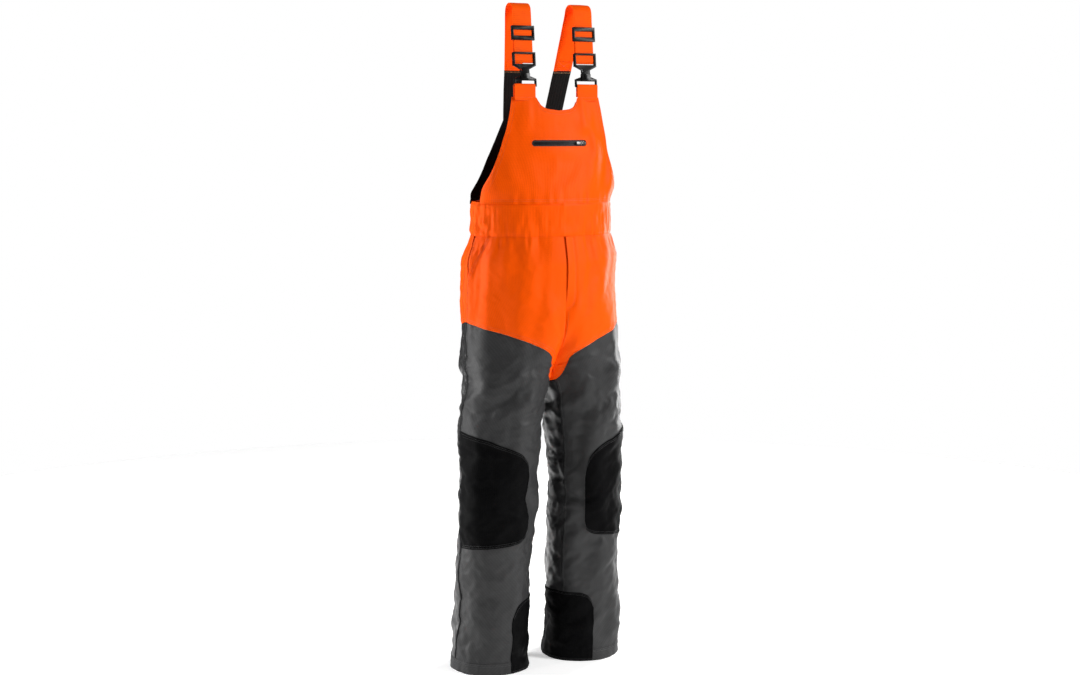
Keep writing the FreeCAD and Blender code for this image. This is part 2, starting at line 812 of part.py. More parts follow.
def buckle_lower(name, side):
    """Lower buckle half: socket, locking stud, flared loop and round webbing bar."""
    top = catch_top()
    half = "(%s / 2)" % cell("neck_width")
    outer = "(%s / 2 + %s)" % (cell("buckle_inner_width"), cell("rail_width"))
    front = "(%s - 1.9)" % cell("front_bar_y")
    height = cell("catch_height")
    body = block(name + "_body", "2 * " + half, cell("catch_body_depth"), height,
                 "-" + half, front, top + " - " + height)
    plate_y = cell("front_bar_y") + " + 0.4"
    plate_depth = cell("catch_plate_depth")
    flare = plate(name + "_flare", [("-" + half, top + " - 6"), ("-" + outer, top + " - 12"),
                                    ("-" + outer, top + " - 16"), (outer, top + " - 16"),
                                    (outer, top + " - 12"), (half, top + " - 6")],
                  plate_y, plate_depth)
    bar = doc.addObject("Part::Cylinder", name + "_bar")
    bar.Placement.Rotation = Rotation(Vector(0, 1, 0), 90)
    drop = cell("catch_bar_drop")
    radius = cell("round_bar_radius")
    bind(bar, {"Radius": radius, "Height": "2 * " + outer, ".Placement.Base.x": "-" + outer,
               ".Placement.Base.y": cell("round_bar_y"), ".Placement.Base.z": top + " - " + drop})
    rails = [block(name + "_arm_%d" % i, cell("rail_width"), plate_depth,
                   cell("catch_arm_height"), x, plate_y, "%s - %s - %s" % (top, drop, radius))
             for i, x in enumerate(("-" + outer, cell("buckle_inner_width") + " / 2"))]
    stud = doc.addObject("Part::Cylinder", name + "_stud")
    stud.Placement.Rotation = Rotation(Vector(1, 0, 0), 90)
    bind(stud, {"Radius": cell("stud_radius"), "Height": "1.6",
                ".Placement.Base.y": front + " + 0.4", ".Placement.Base.z": top + " - 5.8"})
    whole = fused(name + "_whole", [body, flare, bar, stud] + rails)
    clear = cell("socket_clearance")
    socket = block(name + "_socket", "%s + 2 * %s" % (cell("tongue_width"), clear),
                   "%s + 2 * %s" % (cell("tongue_thickness"), clear),
                   cell("tongue_length") + " + 3",
                   "-%s / 2 - %s" % (cell("tongue_width"), clear),
                   "%s + 0.5 - %s" % (cell("front_bar_y"), clear),
                   top + " - %s - 0.6" % cell("tongue_length"))
    feature = subtract(name, whole, socket)
    feature.Placement = run_placement(0, side)
    return keep(name, feature)


def strap_adjuster(name, side):
    """Three-bar slide: two bars in front of the webbing, one behind it."""
    height = cell("adjuster_height")
    pieces = fitting_rails(name, height, "-%s / 2" % height)
    high = cell("high_bar_height")
    low = cell("low_bar_height")
    centre = cell("bar_height")
    pieces.append(fitting_bar(name + "_high_bar", high, "%s / 2 - %s" % (height, high), False))
    pieces.append(fitting_bar(name + "_low_bar", low, "-%s / 2" % height, False))
    pieces.append(fitting_bar(name + "_centre_bar", centre, "-%s / 2" % centre, True))
    feature = fused(name, pieces)
    feature.Placement = run_placement(size("adjuster_offset"), side)
    return keep(name, feature)


def bib_tab(name, side):
    """Folded webbing tab that holds the lower buckle to the top of the bib."""
    drop = size("buckle_window") / 2 + size("neck_length") + size("catch_bar_drop")
    _, bar_y, bar_z = run_point(-drop - size("seam_gap"), size("round_bar_y"))
    foot = size("tab_foot_z")
    outer = size("tab_fold_radius")
    inner = outer - size("strap_thickness")
    edge = size("tab_x") - size("tab_width") / 2

    def arch(radius, bottom):
        left = Vector(edge, bar_y - radius, bottom)
        right = Vector(edge, bar_y + radius, bottom)
        start = Vector(edge, bar_y - radius, bar_z)
        crown = Vector(edge, bar_y, bar_z + radius)
        end = Vector(edge, bar_y + radius, bar_z)
        edges = [Part.makeLine(left, start), Part.Arc(start, crown, end).toShape(),
                 Part.makeLine(end, right), Part.makeLine(right, left)]
        return Part.Face(Part.Wire(edges)).extrude(Vector(size("tab_width"), 0, 0))

    # both edges step in round the bar, to pass between the arms of the catch
    window = size("buckle_inner_width") / 2 - size("layer_gap")
    arm = 2 * size("rail_width")
    steps = [Part.makeBox(arm, 4 * outer, 4 * outer, Vector(x, bar_y - 2 * outer, bar_z - outer))
             for x in (size("strap_x") - window - arm, size("strap_x") + window)]
    cloth(name, arch(outer, foot).cut([arch(inner, foot - 1)] + steps), side)


# ---------------------------------------------------------------- zips

def bib_zip_place():
    """Frame of the bib zip: its bend axis, tilted to follow the chest."""
    y = smooth(BIB_LAWS["middle_y"], size("zip_z"))
    lean = Placement(Vector(0, y, size("zip_z")), Rotation(Vector(1, 0, 0), -size("zip_tilt")))
    return lean.multiply(Placement(Vector(0, size("zip_bend"), 0), Rotation()))


def fly_zip_place():
    """Frame of the fly zip: its bend axis lies across the body."""
    centre = Vector(size("fly_zip_x"), size("fly_zip_y") + size("fly_bend"), size("fly_zip_z"))
    return Placement(centre, Rotation(Vector(0, 1, 0), -90))


def turned(place, angle):
    """The frame turned about its bend axis: positive runs towards its +x side."""
    return place.multiply(Placement(Vector(0, 0, 0), Rotation(Vector(0, 0, 1), angle)))


def ring_piece(name, radius, thickness, low, height, first, last):
    """Curved strip: a slice of a tube about the bend axis."""
    tubes = []
    for tag, wall in (("outer", " + "), ("inner", " - ")):
        tube = doc.addObject("Part::Cylinder", "%s_%s" % (name, tag))
        bind(tube, {"Radius": "%s%s%s / 2" % (radius, wall, thickness), "Height": height,
                    ".Placement.Base.z": low})
        tube.Angle = last - first if tag == "outer" else 360
        tube.Placement.Rotation = Rotation(Vector(0, 0, 1), first - 90)
        tubes.append(tube)
    return subtract(name + "_strip", *tubes)


def zip_parts(name, place, radius_text, radius, first, last, closed, stops):
    """Tapes, teeth, slider and pull of one zip on a bend of the given radius."""
    teeth_edge = "%s + %s" % (cell("zip_split"), cell("tooth_height"))
    height = cell("zip_tape_height")
    tape = []
    for tag, low in (("a", teeth_edge), ("b", "-(%s) - %s" % (teeth_edge, height))):
        tape.append(ring_piece(name + "_tape_" + tag, radius_text, cell("zip_tape_thickness"),
                               low, height, first, last))
    tapes = doc.addObject("Part::Compound", name + "_tape")
    tapes.Links = tape
    tapes.Placement = place
    keep(name + "_tape", tapes)
    zip_teeth(name, place, radius, first, last)
    zip_slider(name, turned(place, closed), radius_text)
    zip_pull(name, turned(place, closed), radius_text)
    if stops:
        zip_stops(name, place, radius_text, (first + 0.45, last - 0.45))


def zip_teeth(name, place, radius, first, last):
    """Two rows of teeth along the inner edges of the tapes."""
    pitch = size("tooth_pitch") * size("zip_bend") / radius
    width = math.radians(size("tooth_angle")) * size("zip_bend")
    depth = size("tooth_depth")
    height = size("tooth_height")
    start = first + 1.0
    teeth = []
    for i in range(int((last - first - 2.0) / pitch) + 1):
        for low in (size("zip_split"), -size("zip_split") - height):
            tooth = Part.makeBox(width, depth, height,
                                 Vector(-width / 2, -radius - depth / 2, low))
            tooth.Placement = turned(place, start + i * pitch).multiply(tooth.Placement)
            teeth.append(tooth)
    cloth(name + "_teeth", Part.makeCompound(teeth))


def zip_slider(name, place, radius):
    """Slider: two plates joined by a thin post, with ears and a pin for the pull."""
    full = name + "_slider"
    length = cell("slider_length")
    height = cell("slider_height")
    gap = cell("slider_gap")
    wall = cell("slider_plate")
    front = "-%s - %s - %s" % (radius, gap, wall)
    pieces = [
        block(full + "_front", length, wall, height, "-%s / 2" % length, front, "-%s / 2" % height),
        block(full + "_rear", length, wall, height, "-%s / 2" % length,
              "-%s + %s" % (radius, gap), "-%s / 2" % height),
        block(full + "_post", "4", "2 * %s" % gap, cell("post_thickness"), "1",
              "-%s - %s" % (radius, gap), "-%s / 2" % cell("post_thickness")),
    ]
    ear = cell("ear_width")
    for tag, low in (("a", cell("ear_place")),
                     ("b", "-%s - %s" % (cell("ear_place"), cell("ear_height")))):
        pieces.append(block(full + "_ear_" + tag, ear, cell("ear_depth"), cell("ear_height"),
                            "-%s / 2" % ear, "%s - %s" % (front, ear), low))
    pin = doc.addObject("Part::Cylinder", full + "_pin")
    bind(pin, {"Radius": cell("pin_radius"), "Height": cell("pin_length"),
               ".Placement.Base.z": "-%s / 2" % cell("pin_length"),
               ".Placement.Base.y": "%s - %s" % (front, cell("pin_reach"))})
    feature = fused(full, pieces + [pin])
    feature.Placement = place
    keep(full, feature)


def zip_pull(name, place, radius):
    """Pull tab with the small hub that turns on the slider's pin."""
    full = name + "_pull"
    axis_y = "-%s - %s - %s - %s" % (radius, cell("slider_gap"), cell("slider_plate"),
                                     cell("pin_reach"))
    hub = doc.addObject("Part::Cylinder", full + "_hub")
    bore = doc.addObject("Part::Cylinder", full + "_bore")
    for tube, tube_radius, length in ((hub, "hub_radius", "hub_length"),
                                      (bore, "bore_radius", "slider_height")):
        bind(tube, {"Radius": cell(tube_radius), "Height": cell(length),
                    ".Placement.Base.z": "-%s / 2" % cell(length), ".Placement.Base.y": axis_y})
    arm = block(full + "_arm", "4", cell("pull_thickness"), "2 * " + cell("hub_radius"), "-5",
                "%s - %s / 2" % (axis_y, cell("pull_thickness")), "-" + cell("hub_radius"))
    grip = block(full + "_grip", cell("pull_length") + " - 5", cell("pull_thickness"),
                 cell("pull_width"), "-" + cell("pull_length"),
                 "%s - %s / 2" % (axis_y, cell("pull_thickness")), "-%s / 2" % cell("pull_width"))
    feature = subtract(full, fused(full + "_whole", [hub, arm, grip]), bore)
    feature.Placement = place
    keep(full, feature)


def zip_stops(name, place, radius, angles):
    """Metal stops at both ends of the chain."""
    stops = []
    for i, angle in enumerate(angles):
        stop = block("%s_stop_%d" % (name, i), "2.2", "1.4", "6.4", "-1.1",
                     "-%s - 1.9" % radius, "-3.2")
        turn = doc.addObject("Part::Compound", "%s_stop_place_%d" % (name, i))
        turn.Links = [stop]
        turn.Placement = turned(place, angle)
        stops.append(turn)
    pair = doc.addObject("Part::Compound", name + "_stops")
    pair.Links = stops
    keep(name + "_stops", pair)


def zips():
    """The curved chest-pocket zip and the curved fly zip."""
    half = size("zip_half_angle")
    chain = "(%s - %s)" % (cell("zip_bend"), cell("zip_depth"))
    zip_parts("bib_zip", bib_zip_place(), chain, size("zip_bend") - size("zip_depth"),
              -half, half, half - 2, True)
    bend = size("fly_bend")
    first = math.degrees(math.asin((size("fly_zip_low") - size("fly_zip_z")) / bend))
    last = math.degrees(math.asin((size("fly_zip_high") - size("fly_zip_z")) / bend))
    zip_parts("fly_zip", fly_zip_place(), cell("fly_bend"), bend, first, last, last - 1.1, False)


# ---------------------------------------------------------------- assembly

def check_and_write():
    """Recompute, refuse anything broken, and write one file per sub-part."""
    doc.recompute()
    for feature in doc.Objects:
        if "Invalid" in feature.State or "Error" in feature.State:
            raise RuntimeError("failed feature: " + feature.Label)
    os.makedirs("parts", exist_ok=True)
    for feature in subparts:
        shape = feature.Shape
        if shape.isNull() or not shape.isValid() or not shape.Solids:
            raise RuntimeError("bad shape: " + feature.Label)
        shape.exportStep("parts/%s.step" % feature.Label)
        print("%-24s %2d solids %10.0f mm3" % (feature.Label, len(shape.Solids), shape.Volume))


for side_name, side_sign in SIDES:
    trouser_side(side_name, side_sign)
    pocket_side(side_name, side_sign)
    straps(side_name, side_sign)
    bib_tab(side_name + "_bib_tab", side_sign)
    buckle_upper(side_name + "_buckle_upper", side_sign)
    buckle_lower(side_name + "_buckle_lower", side_sign)
    strap_adjuster(side_name + "_strap_adjuster", side_sign)
waist()
fly()
bib()
back()
zips()
check_and_write()
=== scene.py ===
import math

import bmesh
import bpy
import numpy as np
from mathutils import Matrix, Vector


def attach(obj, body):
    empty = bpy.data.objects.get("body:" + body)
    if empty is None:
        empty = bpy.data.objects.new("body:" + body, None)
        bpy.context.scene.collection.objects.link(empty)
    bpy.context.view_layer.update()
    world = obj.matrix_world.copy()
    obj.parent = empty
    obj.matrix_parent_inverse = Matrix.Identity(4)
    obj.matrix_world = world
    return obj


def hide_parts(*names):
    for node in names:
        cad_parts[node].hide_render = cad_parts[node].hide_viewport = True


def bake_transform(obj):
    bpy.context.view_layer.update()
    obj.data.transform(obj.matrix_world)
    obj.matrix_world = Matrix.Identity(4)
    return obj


# Chainsaw protective bib trousers: cloth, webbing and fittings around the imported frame.
# Millimetres until a mesh is made. +Z up, the front faces -Y, the wearer's left is +X.

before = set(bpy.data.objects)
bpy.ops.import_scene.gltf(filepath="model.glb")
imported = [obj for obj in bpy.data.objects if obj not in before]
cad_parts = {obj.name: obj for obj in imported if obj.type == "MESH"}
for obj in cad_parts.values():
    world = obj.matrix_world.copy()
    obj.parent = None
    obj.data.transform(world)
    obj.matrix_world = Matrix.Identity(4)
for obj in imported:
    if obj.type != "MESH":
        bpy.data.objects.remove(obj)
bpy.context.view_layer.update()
MM = 0.001
SIDES = (("left", 1), ("right", -1))
CELL = 3.4  # distance between the vertices of a cloth grid

# ---- shape laws

# height: centre x, centre y, half width, half depth of one half of the garment
BODY = {0: (119, 26, 88, 90), 250: (117, 10, 87, 88), 400: (115, 0, 88, 90), 560: (108, 0, 89, 104),
        640: (99, 0, 92, 114), 720: (80, 0, 105, 122), 800: (46, 0, 138, 128), 880: (14, 0, 171, 130),
        940: (0, -2, 185, 128), 1000: (0, -5, 170, 114), 1090: (0, -5, 169, 112)}
# height: half width, y of the side edge, y of the middle, roundness
BIB = {1080: (169, -5, -117, 0.5), 1106: (167, -38, -114, 0.6), 1140: (155, -58, -111, 0.75),
       1173: (142, -66, -107, 0.9), 1207: (131, -73, -103, 1), 1240: (122, -79, -100, 1),
       1273: (115, -80, -96, 1), 1311: (108, -77, -83, 1)}
BACK = {1080: (169, -5, 107, 0.5), 1095: (163, 20, 105, 0.6), 1120: (136, 52, 98, 0.8),
        1170: (110, 54, 84, 1), 1220: (90, 46, 70, 1), 1267: (73, 35, 56, 1)}

HEM, WAIST, BAND_TOP = 28, 1004, 1080
CROTCH, YOKE_FRONT, YOKE_SIDE = 662, 760, 810
INSEAM = 150
FABRIC, SEAM_GAP = 1.4, 0.4
NECK_BOTTOM, NECK_HALF, HORN_TOP, HORN_HALF, BACK_TOP = 1282, 52, 1311, 108, 1267
ZIP_Z, ZIP_WINDOW, BAG_FOOT = 1210, (137, 13.6), 1104
FLY_BOTTOM, FLY_SLIT, PLACKET_FOOT, PLACKET_WIDTH = 858, 4, 842, 27
PLACKET_BEND, PLACKET_DROP = 880, 38  # where its stitching turns in, and how far that runs down


def smooth(points, x):
    """Values at x of a curve through the (x, y) points that never overshoots them."""
    xs = np.array([p[0] for p in points], float)
    ys = np.array([p[1] for p in points], float)
    step = np.diff(xs)
    rise = np.diff(ys) / step
    same = rise[:-1] * rise[1:] > 0
    total = np.where(same, rise[:-1] + rise[1:], 1)
    middle = np.where(same, 2 * rise[:-1] * rise[1:] / total, 0)
    slopes = np.concatenate([rise[:1], middle, rise[-1:]])
    x = np.clip(np.asarray(x, float), xs[0], xs[-1])
    i = np.clip(np.searchsorted(xs, x, side="right") - 1, 0, len(xs) - 2)
    t = (x - xs[i]) / step[i]
    bend = t * (1 - t) * step[i]
    return (ys[i] + rise[i] * step[i] * t * t * (3 - 2 * t)
            + bend * ((1 - t) * slopes[i] - t * slopes[i + 1]))


def law(stations, column, z):
    """One column of a table of stations, read off at z."""
    return smooth([(height, row[column]) for height, row in sorted(stations.items())], z)


def mix(a, b, t):
    return a + (b - a) * t


def ramp(value, low, high):
    """Smooth step from 0 at low to 1 at high."""
    t = np.clip((value - low) / (high - low), 0, 1)
    return t * t * (3 - 2 * t)


def bump(value, centre, width):
    return np.exp(-((value - centre) / width) ** 2)


def body_section(z):
    return [law(BODY, column, z) for column in range(4)]


def oval(centre_x, angle, z):
    """Plain point (x, y) of the section at an angle, and the way out of it."""
    turn = np.radians(angle)
    _, centre_y, half_width, half_depth = body_section(z)
    out = np.stack([np.cos(turn) * half_depth, np.sin(turn) * half_width])
    return (centre_x + half_width * np.cos(turn), centre_y + half_depth * np.sin(turn),
            out / np.hypot(*out))


def middle_angle(z):
    """Angle at which a half section meets the middle plane."""
    centre_x, _, half_width, _ = body_section(z)
    return np.degrees(np.arccos(-np.minimum(1, centre_x / half_width)))


def yoke_height(angle):
    """Height of the seam between the leg cloth and the hip cloth."""
    turn = np.abs(angle)
    turn = np.where(turn > 180, 360 - turn, turn)
    seam = [(0, YOKE_SIDE), (45, YOKE_SIDE - 20), (90, YOKE_FRONT),
            (120, mix(CROTCH, YOKE_FRONT, 0.7)), (135, mix(CROTCH, YOKE_FRONT, 0.4)),
            (150, CROTCH + 13), (180, CROTCH)]
    return smooth(seam, turn)


# ---- folds

def lattice(i, j, k, seed):
    """Repeatable value from -1 to 1 for each lattice point."""
    n = (i * 374761393 + j * 668265263 + k * 1442695041 + seed * 2654435761) & 0xFFFFFFFF
    n = ((n ^ (n >> 13)) * 1274126177) & 0xFFFFFFFF
    n = ((n ^ (n >> 15)) * 2246822519) & 0xFFFFFFFF
    return ((n ^ (n >> 16)) & 0xFFFF) / 32767.5 - 1


def noise(x, y, z, seed):
    """Smooth noise in space, about -1 to 1, one bump to a unit."""
    x, y, z = np.broadcast_arrays(*(np.asarray(a, float) for a in (x, y, z)))
    i, j, k = (np.floor(a).astype(np.int64) for a in (x, y, z))
    u, v, w = (a * a * a * (a * (a * 6 - 15) + 10) for a in (x - i, y - j, z - k))

    def plane(k):
        low = mix(lattice(i, j, k, seed), lattice(i + 1, j, k, seed), u)
        high = mix(lattice(i, j + 1, k, seed), lattice(i + 1, j + 1, k, seed), u)
        return mix(low, high, v)
    return mix(plane(k), plane(k + 1), w)


def creases(x, y, z, seed):
    """Sharp crests between rounded hollows, from -1 to 1."""
    return 1 - 2 * np.abs(noise(x, y, z, seed)) ** 0.8


FRAMES, MOST_FOLD = 24, 12
CLOTH_RULES = {"quality": 4, "mass": 0.12, "tension_stiffness": 20, "compression_stiffness": 20,
               "shear_stiffness": 6, "bending_stiffness": 0.2, "tension_damping": 8,
               "compression_damping": 8, "vertex_group_mass": "held", "use_pressure": True,
               "uniform_pressure_force": 0.1}


def link(name, data):
    """Object with the given data, put in the scene."""
    made = bpy.data.objects.new(name, data)
    bpy.context.scene.collection.objects.link(made)
    return made


def simulated_folds(columns, rows, radii, heights, seed, grow, twist=0, drop=0, gravity=0):
    """Cloth simulation of a tube held at its top: how far it folds out, in millimetres.

    The cloth grows a little, so it buckles. Where its top ring comes down and turns, the
    bottom ring is held too.
    """
    turn, z = np.meshgrid(np.linspace(0, 2 * math.pi, columns, endpoint=False),
                          np.linspace(*heights, rows), indexing="ij")
    way = np.stack([np.cos(turn), np.sin(turn), 0 * turn], -1)
    plain = np.stack([radii[0] * np.cos(turn), radii[1] * np.sin(turn), z], -1)
    uneven = np.random.default_rng(seed).normal(size=turn.shape) * 0.8
    start = (plain + way * uneven[..., None]) * MM
    index = np.arange(columns * rows).reshape(columns, rows)
    after = np.roll(index, -1, axis=0)
    quads = np.stack([index[:, :-1], after[:, :-1], after[:, 1:], index[:, 1:]], -1)
    mesh = bpy.data.meshes.new("fold_tube")
    mesh.from_pydata(start.reshape(-1, 3).tolist(), [], quads.reshape(-1, 4).tolist())
    tube = link("fold_tube", mesh)
    held = index[:, -1].tolist() + (index[:, 0].tolist() if drop else [])
    tube.vertex_groups.new(name="held").add(held, 1.0, "REPLACE")
    tube.shape_key_add(name="Basis")
    moved = tube.shape_key_add(name="moved")
    angle = math.radians(twist)
    top = start[:, -1]
    ring = np.stack([top[:, 0] * math.cos(angle) - top[:, 1] * math.sin(angle),
                     top[:, 0] * math.sin(angle) + top[:, 1] * math.cos(angle),
                     top[:, 2] - drop * MM], -1)
    for i, place in zip(index[:, -1], ring):
        moved.data[i].co = place
    for value, when in ((0, 1), (1, FRAMES - 6)):
        moved.value = value
        moved.keyframe_insert("value", frame=when)
    cloth = tube.modifiers.new("Cloth", "CLOTH")
    for key, value in CLOTH_RULES.items():
        setattr(cloth.settings, key, value)
    cloth.settings.shrink_min = -grow
    cloth.settings.effector_weights.gravity = gravity
    cloth.collision_settings.use_collision = False
    cloth.point_cache.frame_start, cloth.point_cache.frame_end = 1, FRAMES
    for when in range(1, FRAMES + 1):
        bpy.context.scene.frame_set(when)
    result = tube.evaluated_get(bpy.context.evaluated_depsgraph_get())
    places = np.empty(columns * rows * 3, np.float32)
    result.data.vertices.foreach_get("co", places)
    bpy.context.scene.frame_set(1)
    bpy.data.objects.remove(tube)
    out = ((places.reshape(columns, rows, 3) / MM - plain) * way).sum(-1)
    out = np.clip(out, -MOST_FOLD, MOST_FOLD)
    return out - out.mean(axis=0)


def spline_weights(t):
    return ((1 - t) ** 3 / 6, (3 * t ** 3 - 6 * t ** 2 + 4) / 6,
            (-3 * t ** 3 + 3 * t ** 2 + 3 * t + 1) / 6, t ** 3 / 6)


def read_folds(field, turns, height):
    """Smooth value of simulated folds: turns goes round once from 0 to 1."""
    columns, rows = field.shape
    a = turns * columns
    b = np.clip(height, 0, 1) * (rows - 1)
    i, j = np.floor(a).astype(int), np.floor(b).astype(int)
    total = 0
    for di, wi in enumerate(spline_weights(a - i)):
        for dj, wj in enumerate(spline_weights(b - j)):
            total = total + wi * wj * field[(i + di - 1) % columns,
                                            np.clip(j + dj - 1, 0, rows - 1)]
    return total


LEG_SPAN, HIP_SPAN = (HEM, 780), (700, WAIST)
PULL_Z = 705  # height that the creases at the crotch run out from
LEG_FOLDS = simulated_folds(72, 96, (90, 95), LEG_SPAN, 1, 0.02, twist=5, drop=6)
HIP_FOLDS = simulated_folds(120, 44, (178, 122), HIP_SPAN, 3, 0.04, gravity=0.6)


def seam_dip(distance, depth, width):
    """Valley beside a seam, where its thread pulls both cloths in."""
    return -depth * np.exp(-(np.abs(distance) / width) ** 1.5)


def middle_dip(x):
    """Valley of the seam in the middle plane."""
    return seam_dip(x, 1.6, 5)


def trouser_seams(x, y, z, turn):
    """Valleys at the seams of the trousers, and the puckers beside them."""
    side_pull = 0.8 * bump(turn, 0, 15) * noise(0, turn / 20, z / 8.5, 12)
    inner_pull = 0.6 * bump(np.abs(turn), INSEAM, 12) * noise(3, turn / 20, z / 10, 13)
    side_folds = 2.4 * bump(turn, 0, 26) * noise(turn / 5, 0, z / 130, 20)
    side_pull = side_pull + side_folds * ramp(z, YOKE_SIDE, YOKE_SIDE + 60)
    puckers = (side_pull + inner_pull) * ramp(z, WAIST, WAIST - 30)
    yoke = z - yoke_height(turn)
    along = noise(x / 7, y / 7, z / 7, 14)
    seams = seam_dip(yoke, 1.4, 6) + 0.8 * bump(yoke, 0, 16) * along
    seams = seams + seam_dip(z - WAIST, 2.2, 6) + seam_dip(z - HEM, 0.6, 4)
    seams = seams + 0.5 * bump(z, HEM, 14) * along
    open_front = ramp(-y, 40, 80) * ramp(z, FLY_BOTTOM - 20, FLY_BOTTOM)
    seams = seams + middle_dip(x) * ramp(z, CROTCH, CROTCH + 40) * (1 - open_front)
    bend = np.hypot((x - 2) / (PLACKET_WIDTH - 4), (z - PLACKET_BEND) / PLACKET_DROP) * 23 - 23
    j_line = np.where(z > PLACKET_BEND, x - PLACKET_WIDTH + 2, bend)
    j_reach = ramp(z, 838, 842) * ramp(x, 0, 4) * ramp(-y, 20, 60) * ramp(z, WAIST, WAIST - 3)
    return puckers, seams + (seam_dip(j_line, 1.6, 3.5) - 0.3 * ramp(j_line, 1, -4)) * j_reach


def trouser_folds(x, y, z, angle):
    """How far the trouser cloth stands out from its plain shape, at (x, y, z)."""
    turn = np.mod(angle + 180, 360) - 180
    wx = x + 16 * noise(x / 90, y / 90, z / 120, 1)
    wz = z + 34 * noise(x / 80, y / 80, z / 110, 2)
    legs = ramp(z, 10, 110) * ramp(z, BAND_TOP - 4, WAIST - 60)
    hang = 9.0 * noise(wx / 46, y / 48, wz / 230, 3) * legs
    fine = 0.9 * noise(wx / 20, y / 20, wz / 60, 4) * legs
    # the back panel of light nylon runs from the side seam round to the inseam
    behind = ramp(turn, -4, 8) + ramp(-turn, INSEAM - 4, INSEAM + 6)
    inner = ramp(np.abs(turn), 110, 130)
    leg_part = mix(ramp(z, 790, 700), ramp(z, 690, 600), inner)
    mirrored = np.where(x > 0, turn, 143 - turn) / 360
    leg_height = (z - LEG_SPAN[0]) / (LEG_SPAN[1] - LEG_SPAN[0])
    crumple = read_folds(LEG_FOLDS, mirrored, leg_height) * 1.1 * leg_part
    around_leg = 95 * np.radians(np.abs(turn))
    lines = creases((around_leg + 0.5 * wz) / 80, 0, (wz - 0.55 * around_leg) / 18, 5) * 1.1
    lines = lines + creases((around_leg - wz) / 60, 4, (wz + 0.9 * around_leg) / 16, 6) * 0.8
    patchy = 0.6 + 0.4 * noise(x / 50, y / 50, z / 70, 18)
    loose = lines * mix(0.3, 1, behind) * ramp(z, 990, 900) * patchy
    centre_x, centre_y, half_width, half_depth = body_section(z)
    around = np.arctan2((y - centre_y) / half_depth, x / (centre_x + half_width)) / (2 * math.pi)
    hip_height = (z - HIP_SPAN[0]) / (HIP_SPAN[1] - HIP_SPAN[0])
    gathers = 0.7 * read_folds(HIP_FOLDS, around, hip_height) * ramp(z, 720, 830)
    gathers = gathers * ramp(z, WAIST + 4, WAIST - 6)
    gather = ramp(z, WAIST - 60, WAIST - 6) * ramp(z, WAIST + 70, WAIST + 8)
    pleats = 1.5 * gather * noise(x / 7.5, y / 7.5, z / 120, 7)
    hips = 7.0 * bump(z, 880, 100) * noise(wx / 66, y / 70, wz / 210, 8)
    reach = np.hypot(x * 0.9, z - PULL_Z)
    spoke = np.arctan2(z - PULL_Z, np.abs(x) + 12)
    pull = 3.4 * ramp(-y, 0, 70) * bump(reach, 66, 60) * noise(spoke * 4.2, 0, x / 140, 9)
    knee = 3.6 * bump(z, 430, 120) * noise(x / 60, y / 60, wz / 34, 10)
    stack = 3.6 * ramp(z, 230, 40) * noise(x / 70, y / 70, wz / 32, 11)
    drape = 7.0 * noise((wx + 0.5 * wz) / 130, y / 110, (wz - 0.5 * wx) / 130, 15) * legs
    folds = hang + drape + fine + crumple + loose + gathers + pleats + hips + pull + knee + stack
    # the fly's zip and flaps keep the cloth around them flat
    fly_zone = ramp(-y, 40, 80) * ramp(np.abs(x), 62, 26) * ramp(z, 835, 885) * ramp(z, 1040, 1004)
    puckers, seams = trouser_seams(x, y, z, turn)
    return folds * (1 - fly_zone) + puckers + seams


def trouser_skin(side, angle, z, depth):
    """Point of one leg or hip: angle 0 at the side seam, -90 in front, 90 behind."""
    angle, z, depth = np.broadcast_arrays(angle, z, depth)
    x, y, way = oval(body_section(z)[0], angle, z)
    out = trouser_folds(side * x, y, z, angle) - depth
    return np.stack([side * np.maximum(x + out * way[0], 0.2), y + out * way[1], z], -1)


def bib_folds(x, z):
    """How far the bib cloth stands out from its plain shape."""
    wx = x + 22 * noise(x / 90, 0, z / 90, 21)
    wz = z + 26 * noise(x / 70, 5, z / 90, 22)
    slant = wx * 0.98 + wz * 0.14
    soft = 7.0 * noise(slant / 40, 0, (wz - wx * 0.4) / 170, 23)
    soft = soft + 1.6 * noise(wx / 24, 3, wz / 80, 24)
    free = ramp(z, BAND_TOP, BAND_TOP + 60) * (1 - 0.75 * ramp(z, 1225, 1285))
    gather = 1.5 * noise(x / 8.5, 0, z / 60, 25) * ramp(z, BAND_TOP + 46, BAND_TOP + 4)
    over = np.abs(np.abs(x) - TAB_X)
    strain = 1.5 * bump(z, HORN_TOP, 60) * bump(over, 0, 34) * noise(x / 12, 1, z / 90, 26)
    zip_calm = 1 - ramp(np.abs(z - ZIP_Z), 46, 13) * ramp(np.abs(x), 98, 70)
    seams = seam_dip(z - BAND_TOP - 5, 0.5, 5)
    return (soft * free + gather + strain) * zip_calm + seams


def panel_skin(stations, across, z, depth):
    """Point of the bib or the back panel, across from -1 to 1."""
    across, z, depth = np.broadcast_arrays(across, z, depth)
    half, edge, middle, roundness = (law(stations, column, z) for column in range(4))
    bow = 1 - (1 - np.minimum(1, across ** 2)) ** roundness
    inward, folds = (1, bib_folds) if stations is BIB else (-1, back_folds)
    x = across * half
    return np.stack([x, mix(middle, edge, bow) + inward * (depth - folds(x, z)), z], -1)


def back_folds(x, z):
    soft = 2.2 * noise(x / 46, 0, z / 130, 31) + 0.7 * noise(x / 22, 4, z / 26, 32)
    gather = 1.6 * noise(x / 9, 0, z / 50, 33) * ramp(z, BAND_TOP + 50, BAND_TOP + 4)
    return soft * ramp(z, BAND_TOP, BAND_TOP + 60) + gather


# ---- meshes


def smooth_object(name, mesh, sharp=50):
    mesh.shade_smooth()
    mesh.set_sharp_from_angle(angle=math.radians(sharp))
    return link(name, mesh)


